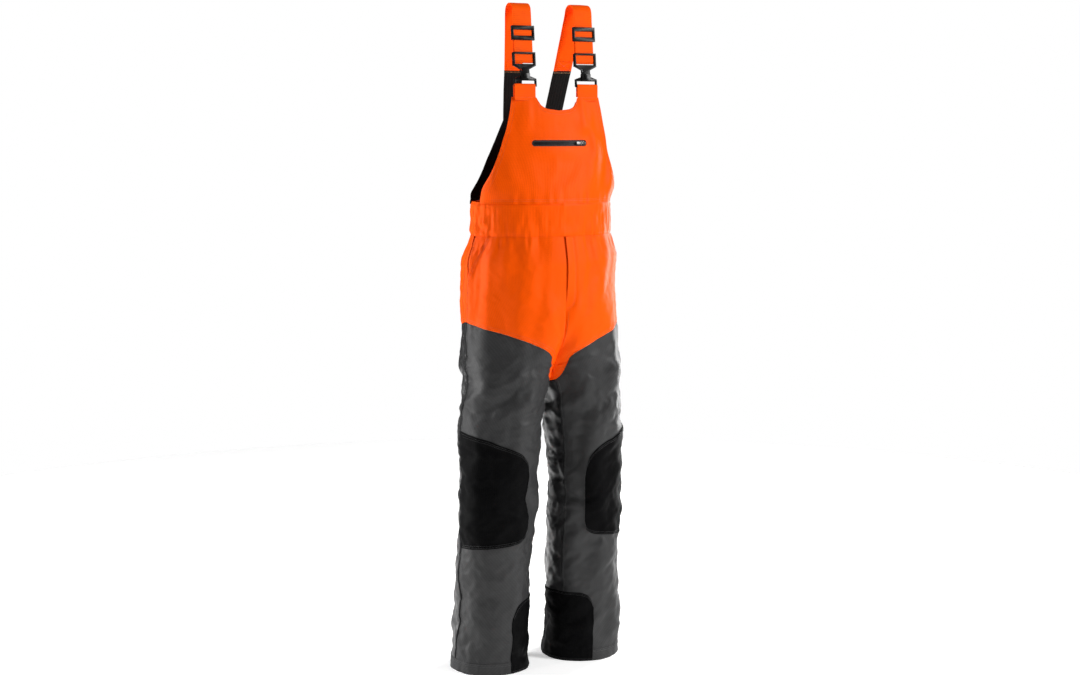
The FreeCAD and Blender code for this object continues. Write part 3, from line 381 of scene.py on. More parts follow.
def mesh_object(name, vertices, faces, uvs=None):
    mesh = bpy.data.meshes.new(name)
    mesh.from_pydata((np.asarray(vertices) * MM).tolist(), [], faces)
    if uvs is not None:
        layer = mesh.uv_layers.new(name="UVMap")
        corner = np.zeros(len(mesh.loops), np.int32)
        mesh.loops.foreach_get("vertex_index", corner)
        layer.data.foreach_set("uv", (np.asarray(uvs) * MM)[corner].astype(np.float32).ravel())
    return smooth_object(name, mesh)


def cloth_piece(name, outer, inner, keep=None):
    """Closed cloth between two grids of points; keep masks quads that are cloth."""
    columns, rows = outer.shape[:2]
    count = columns * rows
    index = np.arange(count).reshape(columns, rows)
    quads = np.stack([index[:-1, :-1], index[1:, :-1], index[1:, 1:], index[:-1, 1:]], -1)
    quads = quads.reshape(-1, 4) if keep is None else quads[keep]
    points = np.concatenate([outer.reshape(-1, 3), inner.reshape(-1, 3)])
    # out of the cloth must be the side of the outer grid
    a, b, d = points[quads[:, 0]], points[quads[:, 1]], points[quads[:, 3]]
    facing = (np.cross(b - a, d - a) * (a - points[quads[:, 0] + count])).sum()
    if facing < 0:
        quads = quads[:, ::-1]
    edges = np.concatenate([np.stack([quads[:, i], quads[:, (i + 1) % 4]], -1) for i in range(4)])
    code = edges[:, 0] * count + edges[:, 1]
    twin = edges[:, 1] * count + edges[:, 0]
    rim = edges[~np.isin(code, twin)]
    walls = np.stack([rim[:, 1], rim[:, 0], rim[:, 0] + count, rim[:, 1] + count], -1)
    faces = np.concatenate([quads, quads[:, ::-1] + count, walls])
    used = np.unique(faces)
    number = np.full(2 * count, -1)
    number[used] = np.arange(len(used))
    along = np.linalg.norm(np.diff(outer, axis=0), axis=-1)
    up = np.linalg.norm(np.diff(outer, axis=1), axis=-1)
    flat_u = np.concatenate([[0], np.cumsum(along.mean(1))])
    flat_v = np.concatenate([[0], np.cumsum(up.mean(0))])
    uvs = np.stack(np.meshgrid(flat_u, flat_v, indexing="ij"), -1).reshape(-1, 2)
    piece = mesh_object(name + "_cloth", points[used], number[faces].tolist(),
                        np.concatenate([uvs, uvs])[used])
    return piece


def steps(length):
    return max(5, int(round(length / CELL)) + 1)


def grid(columns, rows):
    return np.meshgrid(np.linspace(0, 1, columns), np.linspace(0, 1, rows), indexing="ij")


def sheet_of(name, surface, size, start, thickness):
    """Cloth of about the given (width, height) from surface(u, v, depth)."""
    u, v = grid(steps(size[0]), steps(size[1]))
    return cloth_piece(name, surface(u, v, start), surface(u, v, start + thickness))


def finish(piece, material, node=None):
    """Give a piece its material and hide the CAD node that it stands for."""
    piece.data.materials.append(material)
    if node:
        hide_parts(node)
    return piece


def dress(piece, material, node=None, body="garment"):
    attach(piece, body)
    return finish(piece, material, node)


def hang(name, surface, size, start, thickness, material, **stated):
    """Cloth that stands for the CAD node of its name."""
    piece = sheet_of(name, surface, size, start, thickness)
    dress(piece, material, name)


# ---- thread

THREAD, STITCH, PITCH = 0.38, 2.5, 3.4
CORNERS = 5  # of a stitch's cross-section
# share of a stitch's length, radius and lift in thread radii
STITCH_SHAPE = (-0.5, 0.45, -0.2), (-0.25, 1, 0.35), (0.25, 1, 0.35), (0.5, 0.45, -0.2)


def distances(points, power=1):
    """Distance along a line of points up to each of them."""
    return np.concatenate([[0], np.cumsum(np.linalg.norm(np.diff(points, axis=0), axis=1) ** power)])


def sample(at, distance, points):
    """Points read off at distances along a line."""
    return np.stack([np.interp(at, distance, points[:, i]) for i in range(points.shape[1])], -1)


def unit(ways):
    return ways / np.linalg.norm(ways, axis=1)[:, None]


def stitch_run(points, normals):
    """Vertices and faces of a row of stitches lying on the cloth."""
    distance = distances(points)
    count = max(1, int(distance[-1] / PITCH))
    at = (np.arange(count) + 0.5) * distance[-1] / count
    centre = sample(at, distance, points)
    direction = unit(sample(at + 0.5, distance, points) - sample(at - 0.5, distance, points))
    out = unit(sample(at, distance, normals))
    across = np.cross(direction, out)
    rings = []
    for share, radius, lift in STITCH_SHAPE:
        for corner in range(CORNERS):
            turn = 2 * math.pi * corner / CORNERS
            rings.append(centre + direction * share * STITCH
                         + out * THREAD * (lift + radius * math.sin(turn))
                         + across * THREAD * radius * math.cos(turn))
    low = np.arange(CORNERS)
    after = np.roll(low, -1)
    ring_starts = np.arange(len(STITCH_SHAPE))[:, None] * CORNERS
    sides = np.stack([ring_starts[:-1] + low, ring_starts[:-1] + after, ring_starts[1:] + after,
                      ring_starts[1:] + low], -1).reshape(-1, 4)
    caps = np.stack([low[::-1], ring_starts[-1] + low])
    base = np.arange(len(centre))[:, None, None] * len(rings)
    return (np.stack(rings, 1).reshape(-1, 3), (sides + base).reshape(-1, 4).tolist(),
            (caps + base).reshape(-1, CORNERS).tolist())


def stitching(name, runs, material, body="garment"):
    """One object of thread from several rows of (points, normals)."""
    vertices, faces, total = [], [], 0
    for points, normals in runs:
        dots, sides, caps = stitch_run(np.asarray(points), np.asarray(normals))
        vertices.append(dots)
        faces += [[i + total for i in face] for face in sides + caps]
        total += len(dots)
    dress(mesh_object(name, np.concatenate(vertices), faces), material, body=body)


def row_on(surface, *place, depth=-0.1):
    """Row of places on a cloth, with the way out of it."""
    low = surface(*place, depth)
    return low, surface(*place, depth - 1) - low


def on_trousers(side, angle, z, depth=-0.1):
    return row_on(trouser_skin, side, angle, z, depth=depth)


def on_panel(stations, x, z):
    return row_on(panel_skin, stations, x / law(stations, 0, z), z)


# ---- materials

def add_node(tree, kind, inputs=None, **settings):
    """Add a node; an input is a constant or the output that feeds it."""
    node = tree.nodes.new(kind)
    for key, value in settings.items():
        setattr(node, key, value)
    for key, value in (inputs or {}).items():
        if isinstance(value, bpy.types.NodeSocket):
            tree.links.new(value, node.inputs[key])
        else:
            node.inputs[key].default_value = value
    return node


class Maker:
    """Small helper that adds and links the nodes of one material."""

    def __init__(self, name, roughness, gloss=0.5):
        self.material = bpy.data.materials.new(name)
        self.material.use_nodes = True
        self.tree = self.material.node_tree
        self.shader = self.tree.nodes["Principled BSDF"]
        self.fix("Roughness", roughness)
        self.fix("Specular IOR Level", gloss)
        coordinates = self.add("ShaderNodeTexCoord")
        self.flat = coordinates.outputs["UV"]
        self.space = coordinates.outputs["Object"]

    def add(self, kind, inputs=None, **settings):
        return add_node(self.tree, kind, inputs, **settings)

    def noise(self, where, scale, detail=3, roughness=0.5, distortion=0):
        inputs = {"Vector": where, "Scale": scale, "Detail": detail, "Roughness": roughness,
                  "Distortion": distortion}
        return self.add("ShaderNodeTexNoise", inputs).outputs["Fac"]

    def wave(self, where, scale, direction):
        return self.add("ShaderNodeTexWave", {"Vector": where, "Scale": scale},
                        bands_direction=direction).outputs["Fac"]

    def maths(self, operation, a, b):
        return self.add("ShaderNodeMath", {0: a, 1: b}, operation=operation).outputs[0]

    def spread(self, value, low, high, new_low, new_high):
        inputs = {"Value": value, "From Min": low, "From Max": high, "To Min": new_low,
                  "To Max": new_high}
        return self.add("ShaderNodeMapRange", inputs).outputs["Result"]

    def blend_colours(self, factor, a, b):
        return self.add("ShaderNodeMix", {0: factor, 6: a, 7: b}, data_type="RGBA").outputs[2]

    def clouded(self, factor, colour, dark, light):
        """Colour that drifts between a darker and a lighter tone."""
        return self.blend_colours(factor, shade(colour, dark), shade(colour, light))

    def fix(self, socket, value):
        self.shader.inputs[socket].default_value = value

    def use(self, socket, value):
        self.tree.links.new(value, self.shader.inputs[socket])

    def bump(self, height, distance, strength, under=None):
        inputs = {"Height": height, "Distance": distance, "Strength": strength}
        if under is not None:
            inputs["Normal"] = under
        return self.add("ShaderNodeBump", inputs).outputs["Normal"]


def shade(colour, factor=1):
    """RGBA of a colour made darker or lighter."""
    return tuple(min(1.0, c * factor) for c in colour) + (1,)


def woven(name, colour, thread, roughness, twill=False, relief=0.00016, tone=0.12,
          crinkle=0.0006, gloss=0.5):
    """Woven cloth: warp and weft ridges, uneven tone, painted shade in the hollows between threads
    varied by fibre specks, small crinkles.
    """
    m = Maker(name, roughness, gloss)
    scale = 1 / (thread * MM) * 0.05
    warp = m.wave(m.flat, scale, "DIAGONAL" if twill else "X")
    weft = m.wave(m.flat, scale, "Y")
    weave = m.maths("MULTIPLY", warp, m.spread(weft, 0, 1, 0.45, 1))
    cloud = m.noise(m.space, 7, 4, 0.6)
    speck = m.noise(m.space, 900, 2)
    tones = m.clouded(m.spread(cloud, 0.3, 0.7, 0, 1), colour, 1 - tone, 1 + tone)
    # painted shade: the hollows between the threads are darkened, more or less by fibre specks
    dark = m.maths("MULTIPLY", m.spread(weave, 0, 1, 0.35, 0), m.spread(speck, 0.3, 0.7, 0.6, 1))
    m.use("Base Color", m.blend_colours(dark, tones, shade(colour, 0.45)))
    m.use("Roughness", m.spread(cloud, 0.3, 0.7, roughness - 0.07, roughness + 0.07))
    soft = m.bump(m.noise(m.space, 70, 5, 0.55, 0.6), crinkle, 0.8)
    m.use("Normal", m.bump(weave, relief, 0.8, soft))
    return m.material


def ribbed(name, colour, rib, roughness, along="Y", relief=0.0003, dark=0.5, gloss=0.5):
    """Webbing or elastic: strong ribs one way, fine threads the other way."""
    m = Maker(name, roughness, gloss)
    ribs = m.wave(m.flat, 0.05 / (rib * MM), along)
    fine = m.wave(m.flat, 0.05 / (0.55 * MM), "X" if along == "Y" else "Y")
    cloud = m.noise(m.space, 16, 4, 0.6)
    tones = m.clouded(m.spread(cloud, 0.3, 0.7, 0, 1), colour, 0.9, 1.08)
    shadow = m.maths("MULTIPLY", m.spread(ribs, 0, 0.6, dark, 0), m.spread(fine, 0, 1, 1, 0.7))
    m.use("Base Color", m.blend_colours(shadow, tones, shade(colour, 0.4)))
    m.use("Roughness", m.spread(cloud, 0.3, 0.7, roughness - 0.06, roughness + 0.06))
    height = m.maths("ADD", ribs, m.spread(fine, 0, 1, 0, 0.35))
    m.use("Normal", m.bump(height, relief, 0.8))
    return m.material


def plastic(name, colour, roughness):
    """Moulded plastic: fine grain, rubbed paler on raised edges."""
    m = Maker(name, roughness, 0.1)
    grain = m.noise(m.space, 2600, 3, 0.6)
    cloud = m.noise(m.space, 60, 3)
    edge = m.spread(m.add("ShaderNodeNewGeometry").outputs["Pointiness"], 0.5, 0.6, 0, 1)
    worn = m.maths("MULTIPLY", edge, m.spread(cloud, 0.4, 0.6, 0.3, 1))
    m.use("Base Color", m.clouded(worn, colour, 1, 2.6))
    m.use("Roughness", m.spread(cloud, 0.3, 0.7, roughness - 0.05, roughness + 0.08))
    m.use("Normal", m.bump(grain, 0.00002, 0.4))
    return m.material


def metal(name, colour, roughness):
    """Plated zinc: slight clouding and fine scratches."""
    m = Maker(name, roughness)
    m.fix("Metallic", 1.0)
    cloud = m.noise(m.space, 300, 4)
    scratch = m.noise(m.space, 1500, 2, 0.7, 2)
    m.use("Base Color", m.clouded(m.spread(cloud, 0.35, 0.65, 0, 1), colour, 0.75, 1.15))
    m.use("Roughness", m.spread(scratch, 0.3, 0.7, roughness - 0.08, roughness + 0.15))
    m.use("Normal", m.bump(scratch, 0.00002, 0.4))
    return m.material


def fibre(name, colour):
    """Loose long fibre seen through a thin scrim."""
    m = Maker(name, 0.85)
    m.fix("Sheen Weight", 0.3)
    strands = m.noise(m.space, 240, 6, 0.7, 3)
    m.use("Base Color", m.clouded(m.spread(strands, 0.3, 0.7, 0, 1), colour, 0.7, 1))
    m.use("Normal", m.bump(strands, 0.0008, 0.9))
    return m.material


ORANGE_NYLON = woven("orange_nylon", (0.98, 0.092, 0.0), 0.55, 0.5, tone=0.04, crinkle=0.0005,
                     gloss=0.05)
GREY_TWILL = woven("grey_twill", (0.031, 0.031, 0.0315), 0.7, 0.5, twill=True, tone=0.1, gloss=0.2)
GREY_NYLON = woven("grey_nylon", (0.01, 0.01, 0.0105), 0.4, 0.37, tone=0.1, relief=0.00008,
                   crinkle=0.0003, gloss=0.6)
BLACK_COATED = woven("black_reinforcement", (0.0016, 0.0016, 0.0018), 0.8, 0.6, tone=0.15,
                     relief=0.0002, gloss=0.04)
BLACK_PIPING = ribbed("black_piping", (0.0035, 0.0035, 0.004), 1.2, 0.55, gloss=0.12)
BLACK_STRETCH = ribbed("black_stretch", (0.004, 0.0045, 0.005), 1.4, 0.7, gloss=0.1)
BLACK_ELASTIC = ribbed("black_elastic", (0.0028, 0.0035, 0.0035), 1.1, 0.65, dark=0.25, gloss=0.12)
WEBBING = ribbed("orange_webbing", (0.95, 0.088, 0.0), 0.7, 0.6, along="X", relief=0.00012,
                 dark=0.2, gloss=0.05)
DARK_LINING = woven("pocket_lining", (0.02, 0.02, 0.022), 0.5, 0.7)
MESH_LINING = woven("leg_lining", (0.03, 0.03, 0.032), 1.6, 0.75, relief=0.0005)
FIBRE = fibre("protective_fibre", (0.72, 0.7, 0.62))
PLASTIC = plastic("black_plastic", (0.005, 0.0048, 0.0048), 0.22)
ZIP_COIL = plastic("zip_coil", (0.01, 0.01, 0.011), 0.35)
ZIP_TAPE = ribbed("zip_tape", (0.008, 0.008, 0.009), 0.9, 0.7, along="X")
ZIP_METAL = metal("zip_metal", (0.07, 0.068, 0.066), 0.3)
ORANGE_THREAD = woven("orange_thread", (0.85, 0.12, 0.01), 0.3, 0.45)
GREY_THREAD = woven("grey_thread", (0.07, 0.07, 0.072), 0.3, 0.5)
BLACK_THREAD = woven("black_thread", (0.016, 0.016, 0.017), 0.3, 0.45)
TAN_THREAD = woven("tan_thread", (0.45, 0.24, 0.1), 0.3, 0.5)


# ---- legs and hips

LEG_RADIUS = 92
HIP_SIZE = (330, 300)
MOUTH_FOOT, POCKET_FOOT = 900, 864


def leg_panel(name, side, first, last, material):
    def surface(u, v, depth):
        angle = mix(first, last, u)
        z = mix(HEM + SEAM_GAP, yoke_height(angle) - SEAM_GAP, v)
        return trouser_skin(side, angle, z, depth)
    width = abs(math.radians(last - first)) * LEG_RADIUS
    hang(name, surface, (width, YOKE_FRONT), 0, FABRIC, material)


def mouth_angle(z):
    """Angle of the front edge of the slanted pocket mouth."""
    return -mix(0.3, 20.6, np.clip((z - MOUTH_FOOT) / (WAIST - MOUTH_FOOT), 0, 1))


def slit_edge(z):
    """Distance of the left front edge from the middle, beside the fly."""
    return smooth([(FLY_BOTTOM, 0.2), (mix(FLY_BOTTOM, WAIST, 0.4), FLY_SLIT * 0.8),
                   (WAIST, FLY_SLIT)], z)


def hip_front_angle(side, u, z):
    """Angle across the front hip cloth: mouth edge at u = 0, middle at u = 1."""
    inner = middle_angle(z)
    if side == 1:
        centre_x, _, half_width, _ = body_section(z)
        open_angle = np.degrees(np.arccos(np.clip((slit_edge(z) - centre_x) / half_width, -1, 1)))
        inner = np.where(z > FLY_BOTTOM, open_angle, inner)
    return mix(mouth_angle(z), -np.minimum(inner, 180), u)


def close_middle(place, side, share, target):
    """Bring the inner edge of a hip panel to its distance from the middle plane."""
    away = place[-1:, :, 0] * side - target
    place[..., 0] -= side * away * ramp(share, 0.9, 1)
    return place


def hip_place(foot_angle, u, v):
    """Share of the way from the side seam to the middle, and height, on a hip panel."""
    foot = yoke_height(foot_angle) + SEAM_GAP
    share = mix(np.minimum(1, foot_angle / middle_angle(foot)), u, v)
    return share, mix(foot, WAIST - SEAM_GAP, v)


def hip_front(name, side):
    def surface(u, v, depth):
        share, z = hip_place(180 * u, u, v)
        proud, width = (2.8, 0.05) if side == 1 else (-0.3, 0.07)
        lip = 2.2 * bump(share, 0, 0.05) * ramp(z, 895, 930)
        lip = lip + proud * bump(share, 1, width) * ramp(z, FLY_BOTTOM, FLY_BOTTOM + 40)
        place = trouser_skin(side, hip_front_angle(side, share, z), z, depth - lip)
        target = np.where(z[-1:] > FLY_BOTTOM, slit_edge(z[-1:]) * (side == 1), 0) + 0.1
        return close_middle(place, side, share, target)
    hang(name, surface, HIP_SIZE, 0, FABRIC, ORANGE_NYLON)


def hip_back(name, side):
    def surface(u, v, depth):
        share, z = hip_place(mix(0.3, 180, u), u, v)
        return close_middle(trouser_skin(side, share * middle_angle(z), z, depth), side, share, 0.1)
    hang(name, surface, HIP_SIZE, 0, FABRIC, ORANGE_NYLON)


def ring(name, side, angles, heights, start, thickness, material, shape):
    """Band of cloth between two angles and two heights; shape says how far it stands out."""
    def surface(u, v, depth):
        return trouser_skin(side, mix(*angles, u), mix(*heights, v), depth - shape(u, v))
    middle = (heights[0] + heights[1]) / 2
    width = abs(math.radians(angles[1] - angles[0])) * float(body_section(middle)[2])
    hang(name, surface, (width, heights[1] - heights[0]), start, thickness, material)


def side_binding(name, side):
    """Corded side seam: black beside the leg cloth, orange beside the hip cloth."""
    def cord(u, v):
        return 1.5 * np.sin(u * math.pi) ** 0.7
    ring(name + "_side_piping", side, (-2.2, 2.2), (HEM + SEAM_GAP, YOKE_SIDE), -0.2, 1.0,
         BLACK_PIPING, cord)

    def surface(u, v, depth):
        z = mix(YOKE_SIDE, WAIST - 1, v)
        return trouser_skin(side, mix(-1.6, 1.6, u), z, depth - 0.9 * np.sin(u * math.pi))
    dress(sheet_of(name + "_hip_binding", surface, (14, 194), -0.2, 1.0), ORANGE_NYLON)


def hem_shape(u, v):
    """Turned-up hem: rolled at the bottom, a shallow step at its stitching."""
    return 1.1 * bump(v, 0.12, 0.2) + 0.5 * bump(v, 0.9, 0.15)


def pocket_tuck(u, v):
    """The pocket's cloths lean in at the top to end behind the waistband."""
    return -2.2 * ramp(v, 0.88, 1)


KNEE_TOP = [(0, 565), (33, 556), (63, 540), (94, 521), (108, 500), (115, 470), (117, 445)]
KNEE_FOOT = [(0, 291), (41, 299), (71, 303), (98, 308), (113, 320), (117, 340)]
PATCH_WIDTH, PATCH_HEIGHT, GUARD_PEAK = 170, 230, 168
GUARD_TOP = [(98, GUARD_PEAK - 36), (103, GUARD_PEAK - 17), (111, GUARD_PEAK - 5),
             (122, GUARD_PEAK), (250, GUARD_PEAK), (260, GUARD_PEAK - 8)]


def rolled_edge(u, v):
    """Patch edges turned under: a little thicker just inside the outline."""
    near = np.minimum(np.minimum(u, 1 - u), np.minimum(v, 1 - v))
    return 0.7 * bump(near, 0.022, 0.02) - 0.3 * bump(near, 0.055, 0.02)


def patch_surfaces(side):
    """Surfaces of the knee patch and of the ankle guard."""
    def knee(u, v, depth):
        angle = mix(3.2, 117, np.sin(u * math.pi / 2))
        z = mix(smooth(KNEE_FOOT, angle), smooth(KNEE_TOP, angle), v)
        quilt = 0.5 * noise(u * 3, v * 4, 0, 41)
        return trouser_skin(side, -angle, z, depth - rolled_edge(u, v) - quilt)

    def guard(u, v, depth):
        angle = mix(98, 260, u ** 1.5)
        z = mix(1, smooth(GUARD_TOP, angle), v)
        return trouser_skin(side, -angle, z, depth - rolled_edge(u, v) * ramp(v, 0, 0.1))
    return knee, guard


def patches(name, side):
    knee, guard = patch_surfaces(side)
    for part, surface, size in (("_knee_patch", knee, (180, 250)),
                                ("_ankle_guard", guard, (250, 165))):
        hang(name + part, surface, size, -1.6, 1.3, BLACK_COATED, held="stretched",
             rests_on=[name + "_leg_front"])


PAD_FOOT, PAD_TOP, PAD_WIDTH, PAD_LENGTH = 52, 860, 230, 800
PAD_START, PAD_END = 1.8, 9.0
LINING_FOOT, LINING_TOP = 34, 632


def saw_protection(name, side):
    inner_edge = [(0, 148), (600, 146), (700, 125), (780, 104), (PAD_TOP, 84)]

    def surface(u, v, depth):
        z = mix(PAD_FOOT, PAD_TOP, v)
        angle = -mix(5, smooth(inner_edge, z), u)
        rim = np.minimum(np.minimum(u, 1 - u) * PAD_WIDTH, np.minimum(v, 1 - v) * PAD_LENGTH)
        full = ramp(rim, 0, 9) * (0.72 + 0.28 * np.abs(np.sin(u * math.pi * 4)) ** 0.5)
        inside = np.where(depth > PAD_START, PAD_START + 7.2 * (0.25 + 0.75 * full), depth)
        return trouser_skin(side, angle, z, inside)
    u, v = grid(80, 150)
    piece = cloth_piece(name + "_saw_protection", surface(u, v, PAD_START), surface(u, v, PAD_END))
    dress(piece, FIBRE, name + "_saw_protection")


def leg_lining(name, side):
    cover = [(-178, 0), (-162, 0), (-146, 1), (0, 1), (16, 0), (178, 0)]

    def surface(u, v, depth):
        angle = mix(-178, 178, u)
        behind_pad = mix(PAD_START, PAD_END + 0.3, smooth(cover, angle))
        return trouser_skin(side, angle, mix(LINING_FOOT, LINING_TOP, v), depth + behind_pad)
    hang(name + "_leg_lining", surface, (480, 560), 0, 0.8, MESH_LINING)


def patch_row(surface, inset):
    """Stitching round a patch, a distance in from its edge."""
    a, b = inset / PATCH_WIDTH, inset / PATCH_HEIGHT
    t = np.linspace(0, 1, 90)
    u = np.concatenate([mix(a, 1 - a, t), 1 - a + 0 * t[1:], mix(1 - a, a, t[1:])])
    v = np.concatenate([b + 0 * t, mix(b, 1 - b, t[1:]), 1 - b + 0 * t[1:]])
    return row_on(surface, u, v, depth=-1.7)


def seam_rows(name, side):
    """Topstitching of one leg and hip, by thread colour."""
    def rows(*lines, depth=-0.1):
        return [on_trousers(side, angle, z, depth) for angle, z in lines]

    def hip(angle, above):
        z = yoke_height(angle) + above
        reach = np.minimum(np.abs(angle), 360 - np.abs(angle)) < middle_angle(z) - 1
        return angle[reach], z[reach]
    turns = np.linspace(0, -INSEAM, 240), np.linspace(1, 209, 300)
    up = np.linspace(HEM + 6, WAIST - 4, 600)
    inseam = up[up < CROTCH + 10]
    mouth = np.linspace(906, WAIST - 4, 60)
    front = np.linspace(CROTCH + 30, PLACKET_FOOT - 4, 120)
    behind = np.linspace(CROTCH + 30, WAIST - 6, 200)
    around = np.linspace(-179, 179, 500)
    grey = rows((3.2 - INSEAM, inseam)) + rows((around, HEM - 3), (around, HEM - 6.5), depth=-0.6)
    black = rows((4.2, up), (-4.2, up))
    black += [patch_row(surface, inset) for surface in patch_surfaces(side) for inset in (3.2, 7)]
    orange = rows(*[hip(turn, above) for above in (4.5, 9) for turn in turns])
    orange += rows(*[(mouth_angle(mouth) - inset, mouth) for inset in (2.0, 4.2)], depth=-2.0)
    orange += rows((2.4 - middle_angle(front), front),
                   *[(middle_angle(behind) - inset, behind) for inset in (1.6, 3.2)])
    stitching(name + "_grey_stitching", grey, GREY_THREAD)
    stitching(name + "_orange_stitching", orange, ORANGE_THREAD)
    stitching(name + "_black_stitching", black, BLACK_THREAD)


def trouser_side(name, side):
    leg_panel(name + "_leg_front", side, -0.25, 0.25 - INSEAM, GREY_TWILL)
    leg_panel(name + "_leg_back", side, 0.25, 360 - INSEAM - 0.25, GREY_NYLON)
    ring(name + "_hem", side, (-180, 180), (0, HEM), -0.1, 2.4, GREY_TWILL, hem_shape)
    hip_front(name + "_hip_front", side)
    hip_back(name + "_hip_back", side)
    patches(name, side)
    side_binding(name, side)
    ring(name + "_pocket_facing", side, (-1.5, -34), (POCKET_FOOT, WAIST + 3), 1.7, 1.2,
         ORANGE_NYLON, pocket_tuck)
    ring(name + "_pocket_bag", side, (-2, -50), (POCKET_FOOT, WAIST - 2), 3.3, 1.6,
         DARK_LINING, pocket_tuck)
    saw_protection(name, side)
    leg_lining(name, side)
    seam_rows(name, side)


# ---- waist and fly

WAIST_RADIUS = 142


def waistband(name, angles, start, thickness, heights, material):
    """Cloth round the waist: the law of the left half serves both halves."""
    u, v = grid(2 * steps(abs(math.radians(angles[1] - angles[0])) * WAIST_RADIUS), 40)

    def whole(depth):
        angle = mix(*angles, u)
        z = mix(*heights, v)
        turn = np.radians(angle)
        x, y, way = oval(0, angle, z)
        side_angle = np.degrees(np.arctan2(np.sin(turn), np.abs(np.cos(turn))))
        out = trouser_folds(x, y, z, side_angle) - middle_dip(x) - depth
        out = out + band_gathers(x, y, z, turn) - 1.6 * ramp(z, BAND_TOP - 8, BAND_TOP - 1)
        return np.stack([x + out * way[0], y + out * way[1], z], -1)
    dress(cloth_piece(name, whole(start), whole(start + thickness)), material, name)


def band_gathers(x, y, z, turn):
    """Puckers of the waistband, strongest at the sides where elastic draws it in."""
    sides = np.abs(np.cos(turn)) ** 6
    fine = noise(x / 5.5, y / 5.5, z / 70, 15)
    puff = noise(x / 11, y / 11, z / 26, 16)
    middle = bump(z, (WAIST + BAND_TOP) / 2, 36)
    draw = 2.0 * sides * np.abs(noise(x / 8, y / 8, z / 16, 17))
    swell = 3.4 * sides * noise(x / 30, y / 18, z / 17, 19) * ramp(z, WAIST, WAIST + 12)
    swell = swell - 2.4 * sides * ramp(z, BAND_TOP - 12, BAND_TOP)
    return middle * (0.3 + 0.8 * sides) * fine + (0.9 + 1.6 * sides) * puff * middle - draw + swell


def waist():
    heights = (WAIST, BAND_TOP - SEAM_GAP)
    waistband("waistband_front", (-0.08, -179.92), 0, FABRIC, heights, ORANGE_NYLON)
    waistband("waistband_back", (0.08, 179.92), 0, FABRIC, heights, ORANGE_NYLON)
    waistband("waist_elastic", (-35, 215), 1.8, 1.6, (WAIST + 12, WAIST + 64), BLACK_ELASTIC)


def front_middle(x, z, depth):
    """Point of the front cloth near the middle, by its x."""
    centre_x, _, half_width, _ = body_section(z)
    angle = -np.degrees(np.arccos(np.clip((np.abs(x) - centre_x) / half_width, -1, 1)))
    left, right = (trouser_skin(half, angle, z, depth) for half in (1, -1))
    place = np.where((np.asarray(x) < 0)[..., None], right, left)
    place[..., 0] = x
    return place


def fly_strip(name, first_x, last_x, foot, start, thickness, rounded):
    def surface(u, v, depth):
        turn = foot + smooth([(0, 0), (0.5, 1), (0.8, 8), (1, 26)], u) * rounded
        return front_middle(mix(first_x, last_x, u), mix(turn, WAIST - 2, v), depth)
    hang(name, surface, (last_x - first_x, 160), start, thickness, ORANGE_NYLON)


def fly():
    fly_strip("fly_placket", -6, PLACKET_WIDTH, PLACKET_FOOT, 1.5, 1.1, 1)
    fly_strip("fly_shield", -24, PLACKET_WIDTH, PLACKET_FOOT - 4, 19, 1.2, 0)
    rows = []
    for inset in (0, 3.4):
        t = np.linspace(0, 1, 120)
        straight = np.stack([PLACKET_WIDTH - 2 - inset + 0 * t, mix(WAIST - 4, PLACKET_BEND, t)], -1)
        turn = t * math.pi / 2
        bend = np.stack([2 + (PLACKET_WIDTH - 4 - inset) * np.cos(turn),
                         PLACKET_BEND - (PLACKET_DROP - inset) * np.sin(turn)], -1)
        x, z = np.concatenate([straight, bend[1:]]).T
        rows.append(row_on(front_middle, x, z))
    z = np.linspace(FLY_BOTTOM + 4, WAIST - 4, 120)
    rows.append(row_on(front_middle, slit_edge(z) + 2.4, z, depth=-1.8))
    stitching("fly_stitching", rows, ORANGE_THREAD)


# ---- bib and back

def neckline(x):
    """Height of the neckline at a distance from the middle."""
    curve = [(0, NECK_BOTTOM), (NECK_HALF * 0.5, NECK_BOTTOM + 3),
             (NECK_HALF * 0.83, NECK_BOTTOM + 12), (NECK_HALF, HORN_TOP)]
    return smooth(curve, np.abs(x))


def bib_top():
    """Top outline of the bib, from one horn to the other."""
    x = np.concatenate([np.linspace(-HORN_HALF, -NECK_HALF, 30),
                        np.linspace(-NECK_HALF, NECK_HALF, 400),
                        np.linspace(NECK_HALF, HORN_HALF, 30)])
    z = np.where(np.abs(x) >= NECK_HALF, HORN_TOP, neckline(x))
    return np.stack([x, z], -1)


def bib_grid():
    """Places (z, x) of the bib's vertices, before the zip's slot is open."""
    outline = bib_top()
    distance = distances(outline)
    columns = steps(distance[-1])
    top_x, top_z = sample(np.linspace(0, distance[-1], columns), distance, outline).T[:, :, None]
    v = np.linspace(0, 1, steps(HORN_TOP - BAND_TOP))[None, :]
    u = np.linspace(-1, 1, columns)[:, None]
    z = mix(BAND_TOP - 3, top_z, v)
    reach = smooth([(1080, 0.975), (1106, 0.995), (1140, 1), (1320, 1)], z)
    high = np.clip(top_x / law(BIB, 0, top_z), -1, 1)
    return z, mix(u, high, ramp(v, 0.35, 1)) * reach * law(BIB, 0, z)


